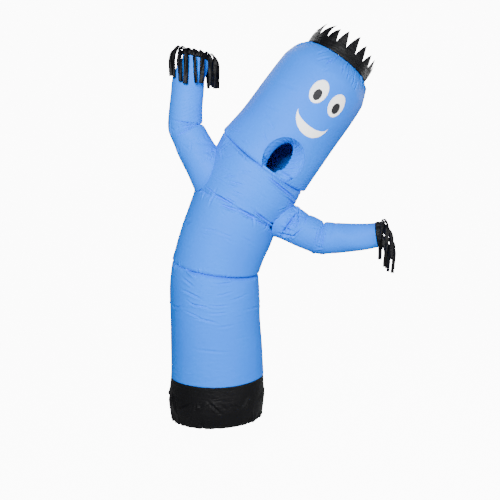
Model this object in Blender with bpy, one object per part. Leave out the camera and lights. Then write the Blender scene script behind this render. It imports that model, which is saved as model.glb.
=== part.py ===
"""Inflatable air dancer costume: a hollow blown-up tube of blue cloth that bends to one side.

Metres, +Z up. The face looks along -Y and the tube leans towards +X. The origin is where it is
carried when worn, inside the chest. Every panel is a sheet of cloth about 2 mm thick, and sewn
pieces stand 0.3 mm apart.
"""
import math
from collections import namedtuple

import bpy
from mathutils import Vector

# Cloth
CLOTH = 0.002
TRIM_CLOTH = 0.0014
PATCH_CLOTH = 0.001
SEAM_GAP = 0.0003
PATCH_LIFT = 0.0006
PUPIL_LIFT = 0.0004

# Mesh fineness
ROUND_STEPS = 36
SLEEVE_STEPS = 18
ROW_PITCH = 0.080
PINCH_ROWS = (0.0, 0.15, 1.0)

# Colours and finish
BLUE = (0.06, 0.29, 0.86)
BLACK = (0.012, 0.012, 0.014)
WHITE = (0.93, 0.93, 0.92)
DARK_GREY = (0.03, 0.03, 0.035)

FRONT = Vector((0, -1, 0))
UP = Vector((0, 0, 1))
FRONT_ANGLE = 90

# Sections of the tube. lean turns a section's axis towards +X, nod lowers its front, both in degrees.
Section = namedtuple("Section", "x z half_width half_depth lean nod")
# A drawn-in crease: how far the cloth curves either side of it, its depth on the +X side and on the -X side.
Crease = namedtuple("Crease", "reach depth_right depth_left")
# A soft trough in a sleeve: where its middle lies, how it slants, how far it reaches and how deep it is.
Trough = namedtuple("Trough", "along angle slant reach span depth")

NO_CREASE = Crease(0.0, 0.0, 0.0)
WAIST = Crease(0.020, 0.040, 0.010)
CHEST_FOLD = Crease(0.024, 0.020, 0.008)
CHIN = Crease(0.016, 0.024, 0.012)
NECK = Crease(0.020, 0.018, 0.008)

SKIRT = (
    Section(-0.179, -1.168, 0.243, 0.222, -1.5, -2),
    Section(-0.180, -1.085, 0.255, 0.242, -1.9, -1),
    Section(-0.174, -0.940, 0.248, 0.244, -0.8, 0),
)
LOWER_BODY = (
    Section(-0.174, -0.940, 0.248, 0.244, -0.8, 0),
    Section(-0.181, -0.708, 0.239, 0.240, 0, 0),
    Section(-0.185, -0.482, 0.235, 0.236, 3, 1),
    Section(-0.181, -0.365, 0.228, 0.230, 9.5, 6),
)
UPPER_BODY = (
    Section(-0.181, -0.365, 0.228, 0.230, 9.5, 6),
    Section(-0.148, -0.262, 0.231, 0.232, 17, 3),
    Section(-0.112, -0.171, 0.233, 0.234, 23, 0),
    Section(-0.071, -0.067, 0.235, 0.236, 28.4, -2),
    Section(-0.002, 0.048, 0.249, 0.244, 32, 2),
    Section(0.070, 0.1843, 0.252, 0.246, 37.6, 10),
)
HEAD = (
    Section(0.073, 0.182, 0.261, 0.254, 37.6, 10),
    Section(0.110, 0.228, 0.258, 0.251, 37.5, 5),
    Section(0.203, 0.352, 0.247, 0.245, 36, 1),
    Section(0.367, 0.577, 0.239, 0.239, 34.5, 0),
    Section(0.392, 0.613, 0.226, 0.226, 35, 0),
    Section(0.412, 0.641, 0.206, 0.206, 35, 0),
    Section(0.430, 0.667, 0.176, 0.176, 35, 0),
)
CHEST_FOLD_AT = 3

# Sleeve stations from inside the chest to the cuff, with the sleeve's radius there.
Station = namedtuple("Station", "x y z radius")
LEFT_SLEEVE = (
    Station(-0.168, -0.044, 0.036, 0.101),
    Station(-0.219, -0.045, 0.134, 0.100),
    Station(-0.329, -0.050, 0.347, 0.088),
    Station(-0.313, -0.075, 0.498, 0.081),
    Station(-0.298, -0.090, 0.587, 0.078),
    Station(-0.273, -0.097, 0.642, 0.068),
    Station(-0.264, -0.100, 0.690, 0.063),
)
RIGHT_SLEEVE = (
    Station(0.063, -0.038, -0.078, 0.092),
    Station(0.164, -0.045, -0.123, 0.092),
    Station(0.362, -0.060, -0.212, 0.083),
    Station(0.506, -0.100, -0.207, 0.073),
    Station(0.590, -0.128, -0.197, 0.065),
    Station(0.646, -0.146, -0.188, 0.058),
)
ELBOW_AT = 2
CUFF_BAND_BELOW = 0.014
ELBOW_CREASE = Crease(0.022, 0.014, 0.005)
BEND_SPAN = 0.055
LEFT_TROUGHS = (
    Trough(0.175, 35, 0.030, 0.030, 70, 0.012),
    Trough(0.235, 60, 0.050, 0.026, 55, 0.007),
)
RIGHT_TROUGHS = (
    Trough(0.165, 110, 0.020, 0.030, 75, 0.016),
    Trough(0.215, 160, 0.030, 0.026, 60, 0.011),
    Trough(0.395, 140, 0.015, 0.024, 60, 0.007),
)


def cubic(knots, values, at):
    """The value at a distance along a list, on a smooth curve through the named rows."""
    last = len(knots) - 1
    i = min(max(sum(knot <= at for knot in knots) - 1, 0), last - 1)
    slopes = []
    for k in (i, i + 1):
        low, high = max(k - 1, 0), min(k + 1, last)
        slopes.append([(b - a) / (knots[high] - knots[low]) for a, b in zip(values[low], values[high])])
    span = knots[i + 1] - knots[i]
    s = (at - knots[i]) / span
    w = (2 * s**3 - 3 * s**2 + 1, s**3 - 2 * s**2 + s, 3 * s**2 - 2 * s**3, s**3 - s**2)
    columns = zip(values[i], slopes[0], values[i + 1], slopes[1])
    return [w[0] * a + span * (w[1] * m + w[3] * n) + w[2] * b for a, m, b, n in columns]


def distances(points):
    """Distance along a line of points, one figure for each."""
    marks = [0.0]
    for a, b in zip(points, points[1:]):
        marks.append(marks[-1] + (b - a).length)
    return marks


def pinch(distance, reach):
    """How far in cloth is drawn beside a crease, from 1 at the crease to 0 where its round lobe ends."""
    if distance >= reach or reach == 0:
        return 0.0
    return 1 - math.sqrt(1 - (1 - max(distance, 0) / reach) ** 2)


def crease_depth(crease, angle):
    """Depth of a crease round the tube, deepest on the side that the tube bends towards."""
    share = (1 + math.cos(math.radians(angle))) / 2
    return crease.depth_left + (crease.depth_right - crease.depth_left) * share


class Tube:
    """A length of the blown-up tube between two creases or seams."""

    def __init__(self, sections, start, end, fold_at=None):
        self.sections = sections
        self.start = start
        self.end = end
        self.marks = distances([Vector((s.x, 0, s.z)) for s in sections])
        self.length = self.marks[-1]
        self.fold = None if fold_at is None else self.marks[fold_at]

    def rows(self):
        """Distances of the mesh rows, one at each section and closer together beside a crease."""
        low = SEAM_GAP / 2
        high = self.length - SEAM_GAP / 2
        marks = [low, *self.marks[1:-1], high]
        marks += [low + self.start.reach * share for share in PINCH_ROWS]
        marks += [high - self.end.reach * share for share in PINCH_ROWS]
        if self.fold is not None:
            marks += [self.fold + side * CHEST_FOLD.reach * share for share in PINCH_ROWS for side in (-1, 1)]
        marks = sorted(set(round(mark, 6) for mark in marks))
        filled = [marks[0]]
        for mark in marks[1:]:
            steps = max(1, round((mark - filled[-1]) / ROW_PITCH))
            base = filled[-1]
            filled += [base + (mark - base) * (k + 1) / steps for k in range(steps)]
        return filled

    def inset(self, at, angle):
        depth = crease_depth(self.start, angle) * pinch(at - SEAM_GAP / 2, self.start.reach)
        depth += crease_depth(self.end, angle) * pinch(self.length - SEAM_GAP / 2 - at, self.end.reach)
        if self.fold is not None:
            depth += crease_depth(CHEST_FOLD, angle) * pinch(abs(at - self.fold), CHEST_FOLD.reach)
        return depth

    def point(self, at, angle, lift=0.0):
        """A point of the cloth's outer face. Angle 0 is the +X side, 90 is the front."""
        x, z, half_width, half_depth, lean, nod = cubic(self.marks, self.sections, at)
        lean, nod = math.radians(lean), math.radians(nod)
        along = Vector((math.sin(lean), 0, math.cos(lean)))
        across = Vector((math.cos(lean), 0, -math.sin(lean)))
        forward = math.cos(nod) * FRONT - math.sin(nod) * along
        out = lift - self.inset(at, angle)
        turn = math.radians(angle)
        ring = (half_width + out) * math.cos(turn) * across + (half_depth + out) * math.sin(turn) * forward
        return Vector((x, 0, z)) + ring

    def grid(self, lift=0.0):
        angles = [360 * k / ROUND_STEPS for k in range(ROUND_STEPS)]
        return [[self.point(at, angle, lift) for angle in angles] for at in self.rows()]


class Sleeve:
    """A sleeve from inside the chest to its open cuff, with a sharp bend at the elbow."""

    def __init__(self, stations, troughs, inner_angle):
        self.stations = stations
        self.troughs = troughs
        self.inner_angle = inner_angle
        self.marks = distances([Vector(s[:3]) for s in stations])
        self.length = self.marks[-1]
        self.elbow = self.marks[ELBOW_AT]

    def centre(self, at):
        """Centre and radius at a distance, curved along each half of the arm and bent at the elbow."""
        half = slice(0, ELBOW_AT + 1) if at < self.elbow else slice(ELBOW_AT, None)
        values = cubic(self.marks[half], self.stations[half], at)
        return Vector(values[:3]), values[3]

    def frame(self, at):
        """Side, front and lengthwise directions of a section, turning gradually through the bend."""
        before = self.centre(max(at - BEND_SPAN, 0))[0]
        after = self.centre(min(at + BEND_SPAN, self.length))[0]
        along = (after - before).normalized()
        forward = (FRONT - FRONT.dot(along) * along).normalized()
        return along.cross(forward), forward, along

    def inset(self, at, angle):
        drawn = pinch(abs(at - self.elbow), ELBOW_CREASE.reach)
        depth = crease_depth(ELBOW_CREASE, angle - self.inner_angle) * drawn
        for trough in self.troughs:
            turn = (angle - trough.angle + 180) % 360 - 180
            if abs(turn) < trough.span:
                middle = trough.along + trough.slant * turn / trough.span
                fade = math.cos(math.pi / 2 * turn / trough.span)
                depth += trough.depth * fade * pinch(abs(at - middle), trough.reach)
        return depth

    def point(self, at, angle, lift=0.0):
        centre, radius = self.centre(at)
        side, forward, _ = self.frame(at)
        turn = math.radians(angle)
        reach = radius + lift - self.inset(at, angle)
        return centre + reach * (math.cos(turn) * side + math.sin(turn) * forward)

    def grid(self, end=None, lift=0.0):
        end = self.length if end is None else end
        marks = [0.0, self.length - CUFF_BAND_BELOW, end]
        marks += [self.elbow + side * ELBOW_CREASE.reach * share for share in PINCH_ROWS for side in (-1, 1)]
        marks += [trough.along + step * trough.reach for trough in self.troughs for step in (-1, 0, 1)]
        marks = sorted(set(round(mark, 6) for mark in marks if 0 <= mark <= end))
        filled = [marks[0]]
        for mark in marks[1:]:
            steps = max(1, round((mark - filled[-1]) / ROW_PITCH))
            base = filled[-1]
            filled += [base + (mark - base) * (k + 1) / steps for k in range(steps)]
        angles = [360 * k / SLEEVE_STEPS for k in range(SLEEVE_STEPS)]
        return [[self.point(at, angle, lift) for angle in angles] for at in filled]


def material(name, colour, roughness):
    made = bpy.data.materials.new(name)
    made.use_nodes = True
    shader = made.node_tree.nodes["Principled BSDF"]
    shader.inputs["Base Color"].default_value = (*colour, 1)
    shader.inputs["Roughness"].default_value = roughness
    shader.inputs["Metallic"].default_value = 0.0
    return made


def add_mesh(name, points, faces, finish=None):
    mesh = bpy.data.meshes.new(name)
    mesh.from_pydata([tuple(point) for point in points], [], faces)
    mesh.update()
    mesh.shade_smooth()
    made = bpy.data.objects.new(name, mesh)
    bpy.context.collection.objects.link(made)
    if finish:
        mesh.materials.append(finish)
    return made


def ring_faces(rows, columns, closed=True):
    """Quads of a grid whose rows run round a tube, facing outwards."""
    faces = []
    for i in range(rows - 1):
        for j in range(columns if closed else columns - 1):
            k = (j + 1) % columns
            faces.append((i * columns + j, (i + 1) * columns + j, (i + 1) * columns + k, i * columns + k))
    return faces


def add_tube(name, grid, finish):
    """An open tube of cloth, as one layer that its thickness is then given to."""
    points = [point for row in grid for point in row]
    return add_mesh(name, points, ring_faces(len(grid), len(grid[0])), finish)


def add_plug(name, grid):
    """A closed solid with the outline of a tube, used to cut with and left out of the part."""
    columns = len(grid[0])
    points = [point for row in grid for point in row]
    faces = ring_faces(len(grid), columns)
    faces.append(tuple(range(columns)))
    faces.append(tuple(reversed(range(len(points) - columns, len(points)))))
    made = add_mesh(name, points, faces)
    made.hide_render = True
    made.display_type = "WIRE"
    return made


def thicken(made, thickness, offset=-1.0, even=True):
    """Gives a layer of cloth its thickness. Sharply folded ribbons take it unevenly, so no fold spikes."""
    solidify = made.modifiers.new("thickness", "SOLIDIFY")
    solidify.thickness = thickness
    solidify.offset = offset
    solidify.use_even_offset = even


def cut(made, cutter):
    boolean = made.modifiers.new("cut_" + cutter.name, "BOOLEAN")
    boolean.operation = "DIFFERENCE"
    boolean.solver = "EXACT"
    boolean.object = cutter


for old in list(bpy.data.objects):
    bpy.data.objects.remove(old, do_unlink=True)

blue_cloth = material("blue_cloth", BLUE, 0.42)
black_cloth = material("black_cloth", BLACK, 0.5)
white_patch = material("white_patch", WHITE, 0.6)
dark_patch = material("dark_patch", DARK_GREY, 0.55)

# The tube's panels, from the hem to the crown
skirt_tube = Tube(SKIRT, NO_CREASE, NO_CREASE)
lower_tube = Tube(LOWER_BODY, NO_CREASE, WAIST)
upper_tube = Tube(UPPER_BODY, WAIST, NECK, CHEST_FOLD_AT)
head_tube = Tube(HEAD, CHIN, NO_CREASE)

skirt = add_tube("skirt", skirt_tube.grid(), black_cloth)
lower_body = add_tube("body_lower", lower_tube.grid(), blue_cloth)
upper_body = add_tube("body_upper", upper_tube.grid(), blue_cloth)
head = add_tube("head", head_tube.grid(), blue_cloth)
for panel in (skirt, lower_body, upper_body, head):
    thicken(panel, CLOTH)

# Sleeves, trimmed where they meet the chest, and the armholes that they open through
BORE_PAST_WALL = 0.17
left = Sleeve(LEFT_SLEEVE, LEFT_TROUGHS, 0)
right = Sleeve(RIGHT_SLEEVE, RIGHT_TROUGHS, 180)
chest_core = add_plug("guide_chest_core", upper_tube.grid(SEAM_GAP))
for name, shape in (("sleeve_left", left), ("sleeve_right", right)):
    sleeve = add_tube(name, shape.grid(), blue_cloth)
    thicken(sleeve, CLOTH)
    cut(sleeve, chest_core)
    bore = add_plug("guide_bore_" + name, shape.grid(BORE_PAST_WALL, -CLOTH))
    cut(upper_body, bore)

# The face opening, an oval whose lower side lies open on the chest
FACE_TURN = 17.3
FACE_ALONG = 0.045
FACE_HALF_WIDTH = 0.103
FACE_HALF_HEIGHT = 0.112
FACE_STEPS = 28
HEAD_RADIUS = 0.245
CHIN_TOP = 0.03
head_foot = Vector((HEAD[0].x, 0, HEAD[0].z))
head_axis = (Vector((HEAD[3].x, 0, HEAD[3].z)) - head_foot).normalized()
head_across = Vector((head_axis.z, 0, -head_axis.x))


def on_head(across, along, lift=0.0):
    """The head's cloth at a distance round it from the front, towards +X, and a height above its foot."""
    angle = FRONT_ANGLE - math.degrees(across / HEAD_RADIUS)
    at = along
    for _ in range(6):
        at = min(max(at, CHIN_TOP), head_tube.length)
        found = head_tube.point(at, angle, lift)
        left_over = along - (found - head_foot).dot(head_axis)
        at += left_over
    return found + left_over * head_axis


def turned(degrees):
    """Outward direction on the head at an angle round its axis from the front."""
    turn = math.radians(degrees)
    return math.cos(turn) * FRONT + math.sin(turn) * head_across


face_out = turned(FACE_TURN)
face_side = face_out.cross(head_axis)
face_centre = on_head(math.radians(FACE_TURN) * HEAD_RADIUS, FACE_ALONG)
cutter_rows = []
for reach in (-0.12, 0.12):
    ring = []
    for k in range(FACE_STEPS):
        turn = 2 * math.pi * k / FACE_STEPS
        flat = FACE_HALF_WIDTH * math.cos(turn) * face_side + FACE_HALF_HEIGHT * math.sin(turn) * head_axis
        ring.append(face_centre + flat + reach * face_out)
    cutter_rows.append(ring)
face_cutter = add_plug("guide_face_opening", cutter_rows)
cut(head, face_cutter)

# The gathered facing that narrows inwards from the edge of the face opening
FACING_ROWS = (
    # share of the way from the rim's oval to the inner oval, depth below the head's cloth
    (-0.20, 0.0046),
    (0.10, 0.0110),
    (0.45, 0.0300),
    (1.00, 0.0680),
)
FACING_FROM = -28
FACING_TO = 208
FACING_STEPS = 48
FACING_GATHERS = 12
GATHER_DEPTH = 0.0035
FACING_HALF_WIDTH = 0.064
FACING_HALF_HEIGHT = 0.088
face_middle = math.radians(FACE_TURN) * HEAD_RADIUS
facing_grid = []
for share, depth in FACING_ROWS:
    row = []
    for k in range(FACING_STEPS + 1):
        turn = math.radians(FACING_FROM + (FACING_TO - FACING_FROM) * k / FACING_STEPS)
        gather = GATHER_DEPTH * max(share, 0) * math.cos(FACING_GATHERS * 2 * math.pi * k / FACING_STEPS)
        half_width = FACE_HALF_WIDTH + (FACING_HALF_WIDTH - FACE_HALF_WIDTH) * share + gather
        half_height = FACE_HALF_HEIGHT + (FACING_HALF_HEIGHT - FACE_HALF_HEIGHT) * share + gather
        across = face_middle + half_width * math.cos(turn)
        row.append(on_head(across, FACE_ALONG + half_height * math.sin(turn), -depth))
    facing_grid.append(row)
facing_points = [point for row in facing_grid for point in row]
facing_faces = ring_faces(len(facing_grid), FACING_STEPS + 1, False)
facing = add_mesh("face_lining", facing_points, facing_faces, blue_cloth)
thicken(facing, TRIM_CLOTH, 0.0)

# The round panel that closes the head, bulging with the air under it
CAP_RADIUS = 0.1735
CAP_DOME = 0.030
CAP_SHARES = (0.35, 0.7, 1.0)
crown_foot = Vector((HEAD[-1].x, 0, HEAD[-1].z))
crown_lean = math.radians(HEAD[-1].lean)
crown_axis = Vector((math.sin(crown_lean), 0, math.cos(crown_lean)))
crown_across = Vector((crown_axis.z, 0, -crown_axis.x))


def on_crown(radius, angle, height):
    turn = math.radians(angle)
    return crown_foot + radius * (math.cos(turn) * crown_across + math.sin(turn) * FRONT) + height * crown_axis


cap_points = [on_crown(0, 0, CAP_DOME + SEAM_GAP)]
for share in CAP_SHARES:
    height = CAP_DOME * (1 - share**2) + SEAM_GAP
    cap_points += [on_crown(CAP_RADIUS * share, 360 * k / ROUND_STEPS, height) for k in range(ROUND_STEPS)]
cap_faces = [(0, 1 + (k + 1) % ROUND_STEPS, 1 + k) for k in range(ROUND_STEPS)]
for i in range(len(CAP_SHARES) - 1):
    inner, outer = 1 + i * ROUND_STEPS, 1 + (i + 1) * ROUND_STEPS
    for j in range(ROUND_STEPS):
        k = (j + 1) % ROUND_STEPS
        cap_faces.append((inner + j, inner + k, outer + k, outer + j))
top_cap = add_mesh("top_cap", cap_points, cap_faces, blue_cloth)
thicken(top_cap, CLOTH, 1.0)

# The crown: a strip sewn round the top, cut into pointed locks that curl a little
CROWN_RADIUS = 0.1762
CROWN_BAND = 0.050
LOCK_HEIGHT = 0.072
SIDE_LOCK_SHARE = 0.66
UNEVEN_LOCKS = 0.12
LOCK_WIDE_AT = 0.5
LOCK_HALF_WIDTH = 0.34
LOCK_TIP_SHIFT = 0.6
# Each lock's curl round the crown, from the +X side. Those in front stand straight, those beside them bend.
LOCK_CURLS = (
    *(-0.9, 0.1, 0.0, 0.1, 0.0, 0.1, -0.3, -1.1, -0.5, 0.9),
    *(0.3, -0.2, 0.1, 0.3, -0.2, 0.0, 0.2, -0.3, 0.1, 0.4),
)
LOCK_LEAN_OUT = 0.004
SIDE_LOCK_LEAN_IN = 0.012
LOCKS = len(LOCK_CURLS)
lock_pitch = 360 / LOCKS
crown_points = []
for height in (SEAM_GAP, CROWN_BAND):
    for k in range(2 * LOCKS):
        crown_points.append(on_crown(CROWN_RADIUS, lock_pitch / 2 * k, SEAM_GAP + height))
crown_faces = ring_faces(2, 2 * LOCKS)
for lock, curl in enumerate(LOCK_CURLS):
    towards = abs(math.sin(math.radians(lock_pitch * (lock + 0.5))))
    tall = LOCK_HEIGHT * (SIDE_LOCK_SHARE + (1 - SIDE_LOCK_SHARE) * towards)
    tall *= 1 + UNEVEN_LOCKS * math.sin(1.7 * lock + 1)
    lean_out = LOCK_LEAN_OUT * math.sin(3.1 * lock) - SIDE_LOCK_LEAN_IN * (1 - towards)
    valley = 2 * LOCKS + 2 * lock
    base = [valley, valley + 1, 2 * LOCKS + (2 * lock + 2) % (2 * LOCKS)]
    middle = []
    for step in (-LOCK_HALF_WIDTH, 0, LOCK_HALF_WIDTH):
        angle = lock_pitch * (lock + 0.5 + step + LOCK_TIP_SHIFT * curl * LOCK_WIDE_AT**2)
        middle.append(len(crown_points))
        crown_points.append(on_crown(CROWN_RADIUS + lean_out / 3, angle, CROWN_BAND + tall * LOCK_WIDE_AT))
    tip = len(crown_points)
    tip_angle = lock_pitch * (lock + 0.5 + LOCK_TIP_SHIFT * curl)
    crown_points.append(on_crown(CROWN_RADIUS + lean_out, tip_angle, CROWN_BAND + tall))
    for a in range(2):
        crown_faces.append((base[a], middle[a], middle[a + 1], base[a + 1]))
        crown_faces.append((middle[a], tip, middle[a + 1]))
crown = add_mesh("crown", crown_points, crown_faces, black_cloth)
thicken(crown, TRIM_CLOTH)

# Cuff fringes: a narrow strip round each sleeve's end, cut above into ribbons that fold over and hang
RIBBONS = 14
RIBBON_SHARE = 0.82
RIBBON_ROWS = (0.05, 0.11, 0.20, 0.40, 0.70, 1.0)
RIBBON_LENGTH = 0.165
CUFF_BAND_ABOVE = 0.006
CUFF_CLEAR = 0.0030
TWISTED_BY = 0.45
# The raised cuff's ribbons: how far they arch out, more on the side of the wider sleeve, and how they fall
ARCH_OUT = 0.030
ARCH_OUT_FAR = 0.036
ARCH_FRONT_CLOSER = 0.35
ARCH_RISE = 0.010
ARCH_UNEVEN = 0.003
SWING = 0.8
SWING_BEHIND = 0.3
FAR_SHORTER = 0.12
NEAR_SHORTER = 0.14
LENGTH_UNEVEN = 0.06
FALL_DRIFT = 0.008
FALL_TURN = 35
# The level cuff's ribbons: their clearance over and under the sleeve, and where each one slides and hangs.
# slide is how far past the cuff, length runs from its root, turn is its flat side's angle from the sleeve.
LEAVE_CUFF = 0.007
LEAVE_OUT = 0.001
OVER_SHARES = (0.35, 0.7)
OVER_CLEAR = 0.012
OVER_CLEAR_TOP = 0.014
UNDER_CLEAR = 0.010
HANG_START = 0.025
Slip = namedtuple("Slip", "slide length turn")
SLIPS = (
    Slip(0.030, 0.118, 50),
    Slip(0.058, 0.118, 20),
    Slip(0.038, 0.150, 55),
    Slip(0.022, 0.152, -15),
    Slip(0.034, 0.150, 0),
    Slip(0.010, 0.150, 8),
    Slip(-0.024, 0.125, 0),
    Slip(0.066, 0.160, 72),
    Slip(0.022, 0.165, 40),
    Slip(0.045, 0.150, -30),
    Slip(0.012, 0.140, 25),
    Slip(0.050, 0.130, 60),
    Slip(0.016, 0.125, -40),
    Slip(0.048, 0.135, 35),
)


def hang_left(root, outward, along, index):
    """A ribbon of the raised cuff arches out past the wider sleeve and hangs beside it, turned to the front."""
    side = UP.cross(outward)
    far = ((1 - outward.x) / 2) ** 2
    near = ((1 + outward.x) / 2) ** 2
    forward = outward.dot(FRONT)
    swung = (outward + SWING * far * FRONT).normalized() if forward > -SWING_BEHIND else outward
    out = ARCH_OUT + ARCH_OUT_FAR * far + ARCH_UNEVEN * math.sin(2.1 * index)
    out *= 1 - ARCH_FRONT_CLOSER * forward
    drop = 1 - FAR_SHORTER * far - NEAR_SHORTER * near + LENGTH_UNEVEN * math.sin(1.3 * index + 2)
    drop *= RIBBON_LENGTH
    drift = FALL_DRIFT * math.sin(2.7 * index)
    points = (
        root,
        root + ARCH_RISE * along + 0.004 * outward,
        root + ARCH_RISE * along + 0.4 * out * outward,
        root + 0.80 * out * swung - 0.15 * out * UP,
        root + out * swung - (0.65 * out + 0.010) * UP,
        root + out * swung - 0.65 * drop * UP + 0.5 * drift * side,
        root + 0.98 * out * swung - drop * UP + drift * side,
    )
    turn = math.radians(FALL_TURN * math.sin(1.7 * index))
    facing = Vector((math.cos(turn), math.sin(turn), 0))
    return points, facing if side.x > 0 else -facing


def hang_right(root, outward, along, index):
    """A ribbon of the level cuff slides round it to its front or its back and hangs from there."""
    slip = SLIPS[index]
    past = FRONT if outward.dot(FRONT) >= 0 else -FRONT
    level = math.asin(max(-1, min(1, outward.z)))
    radius = RIGHT_SLEEVE[-1].radius
    centre = root - radius * outward
    points = [root, root + LEAVE_CUFF * along + LEAVE_OUT * outward]
    if level > 0:
        radius += OVER_CLEAR + OVER_CLEAR_TOP * math.sin(level)
        for share in OVER_SHARES:
            turn = level * (1 - share)
            ring = math.cos(turn) * past + math.sin(turn) * UP
            points.append(centre + radius * ring + (LEAVE_CUFF + (slip.slide - LEAVE_CUFF) * share) * along)
        below = centre + radius * past
        drop = slip.length - radius * level
    else:
        radius += UNDER_CLEAR
        below = centre + radius * outward
        drop = slip.length
    below += slip.slide * along
    points.append(below - HANG_START * UP)
    points.append(below - drop * UP)
    turn = math.radians(slip.turn)
    flat = math.cos(turn) * along + math.sin(turn) * FRONT
    return points, flat if past == FRONT else -flat


def ribbon_edges(points, start_across, end_across, half_width):
    """Edge points along a smooth curve through a ribbon's points, turning from one width to another."""
    marks = distances(points)
    values = [tuple(point) for point in points]
    rows = []
    for share in RIBBON_ROWS:
        middle = Vector(cubic(marks, values, marks[-1] * share))
        direction = (middle - Vector(cubic(marks, values, marks[-1] * share * 0.95))).normalized()
        twist = min(share / TWISTED_BY, 1)
        across = start_across * (1 - twist) + end_across * twist
        across = (across - across.dot(direction) * direction).normalized()
        rows.append((middle - half_width * across, middle + half_width * across))
    return rows


def add_fringe(name, sleeve, hang):
    """A band round the cuff with its ribbons, one sheet that its thickness is then given to."""
    along = sleeve.frame(sleeve.length)[2]
    middle_of_end = sleeve.centre(sleeve.length)[0] + CUFF_BAND_ABOVE * along
    pitch = 360 / RIBBONS
    edges = []
    for index in range(RIBBONS):
        middle = pitch * (index + 0.5)
        edges += [middle - pitch * RIBBON_SHARE / 2, middle + pitch * RIBBON_SHARE / 2]
    points = [sleeve.point(sleeve.length - CUFF_BAND_BELOW, edge, CUFF_CLEAR) for edge in edges]
    points += [sleeve.point(sleeve.length, edge, CUFF_CLEAR) + CUFF_BAND_ABOVE * along for edge in edges]
    faces = ring_faces(2, len(edges))
    for index in range(RIBBONS):
        first = len(edges) + 2 * index
        root = (points[first] + points[first + 1]) / 2
        outward = (root - middle_of_end).normalized()
        flat = points[first + 1] - points[first]
        path, end_across = hang(root, outward, along, index)
        previous = (first, first + 1)
        for near, far in ribbon_edges(path, flat.normalized(), end_across, flat.length / 2):
            points += [near, far]
            current = (len(points) - 2, len(points) - 1)
            faces.append((previous[0], current[0], current[1], previous[1]))
            previous = current
    thicken(add_mesh(name, points, faces, black_cloth), TRIM_CLOTH, even=False)


add_fringe("fringe_left", left, hang_left)
add_fringe("fringe_right", right, hang_right)

# Patches of the face, laid on the head's cloth. Places are distances round the head and above its foot.
Oval = namedtuple("Oval", "name across along half_width half_height lift finish")
PUPIL_BASE = PATCH_LIFT + PATCH_CLOTH + PUPIL_LIFT
OVALS = (
    Oval("eye_left", 0.016, 0.399, 0.0425, 0.0585, PATCH_LIFT, white_patch),
    Oval("eye_right", 0.130, 0.402, 0.0425, 0.0585, PATCH_LIFT, white_patch),
    Oval("pupil_left", 0.018, 0.383, 0.0195, 0.0275, PUPIL_BASE, dark_patch),
    Oval("pupil_right", 0.134, 0.389, 0.0195, 0.0275, PUPIL_BASE, dark_patch),
)
OVAL_STEPS = 20
OVAL_SHARES = (0.5, 1.0)
for oval in OVALS:
    points = [on_head(oval.across, oval.along, oval.lift)]
    for share in OVAL_SHARES:
        for k in range(OVAL_STEPS):
            turn = 2 * math.pi * k / OVAL_STEPS
            across = oval.across + share * oval.half_width * math.cos(turn)
            points.append(on_head(across, oval.along + share * oval.half_height * math.sin(turn), oval.lift))
    faces = [(0, 1 + k, 1 + (k + 1) % OVAL_STEPS) for k in range(OVAL_STEPS)]
    for j in range(OVAL_STEPS):
        k = (j + 1) % OVAL_STEPS
        faces.append((1 + j, 1 + OVAL_STEPS + j, 1 + OVAL_STEPS + k, 1 + k))
    thicken(add_mesh(oval.name, points, faces, oval.finish), PATCH_CLOTH, 1.0)

# The smile: a crescent between two half ovals that share their ends
SMILE_ACROSS = 0.074
SMILE_ALONG = 0.290
SMILE_HALF_WIDTH = 0.092
SMILE_INNER = 0.044
SMILE_OUTER = 0.092
SMILE_TILT = 3.5
SMILE_STEPS = 22
SMILE_ROWS = 4
smile_points = []
for i in range(SMILE_ROWS + 1):
    sag = SMILE_OUTER + (SMILE_INNER - SMILE_OUTER) * i / SMILE_ROWS
    for k in range(1, SMILE_STEPS):
        turn = math.pi * k / SMILE_STEPS
        x, y = -SMILE_HALF_WIDTH * math.cos(turn), -sag * math.sin(turn)
        tilt = math.radians(SMILE_TILT)
        across = SMILE_ACROSS + x * math.cos(tilt) - y * math.sin(tilt)
        along = SMILE_ALONG + x * math.sin(tilt) + y * math.cos(tilt)
        smile_points.append(on_head(across, along, PATCH_LIFT))
row_length = SMILE_STEPS - 1
smile_faces = []
for i in range(SMILE_ROWS):
    for j in range(row_length - 1):
        a = i * row_length + j
        smile_faces.append((a, a + 1, a + row_length + 1, a + row_length))
smile = add_mesh("smile", smile_points, smile_faces, white_patch)
thicken(smile, PATCH_CLOTH, 1.0)
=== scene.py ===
"""Visual model of the inflatable air dancer costume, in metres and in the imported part's own frame.

The face looks along -Y, the tube leans towards +X and +Z is up. Every cloth piece is a fine grid on
the same rings as its solid, with its creases, gathers and folds worked into it.
"""
import math
from collections import namedtuple

import bpy
import numpy as np
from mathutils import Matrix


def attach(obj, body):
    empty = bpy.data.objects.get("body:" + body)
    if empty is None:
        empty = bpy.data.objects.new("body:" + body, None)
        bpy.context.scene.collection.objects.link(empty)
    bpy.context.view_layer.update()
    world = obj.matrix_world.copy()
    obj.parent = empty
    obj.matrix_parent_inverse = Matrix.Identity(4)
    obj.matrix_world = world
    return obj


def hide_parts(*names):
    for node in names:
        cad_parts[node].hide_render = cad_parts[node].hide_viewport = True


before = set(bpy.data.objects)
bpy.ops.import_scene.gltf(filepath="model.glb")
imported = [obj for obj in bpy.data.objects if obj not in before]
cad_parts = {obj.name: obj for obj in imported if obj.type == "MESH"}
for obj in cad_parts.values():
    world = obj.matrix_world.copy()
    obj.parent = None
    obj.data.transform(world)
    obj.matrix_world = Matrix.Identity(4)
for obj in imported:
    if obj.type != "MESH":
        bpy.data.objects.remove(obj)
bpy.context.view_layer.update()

# The photograph's view: a sweep that looks white to the camera, a small light in front, a little to the
# left and above, a weaker one lower on the right, and two from behind. The surroundings are dim.
CAMERA_AT = (0.0, -3.0, 0.03)
CAMERA_DOWN = 5.9
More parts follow.
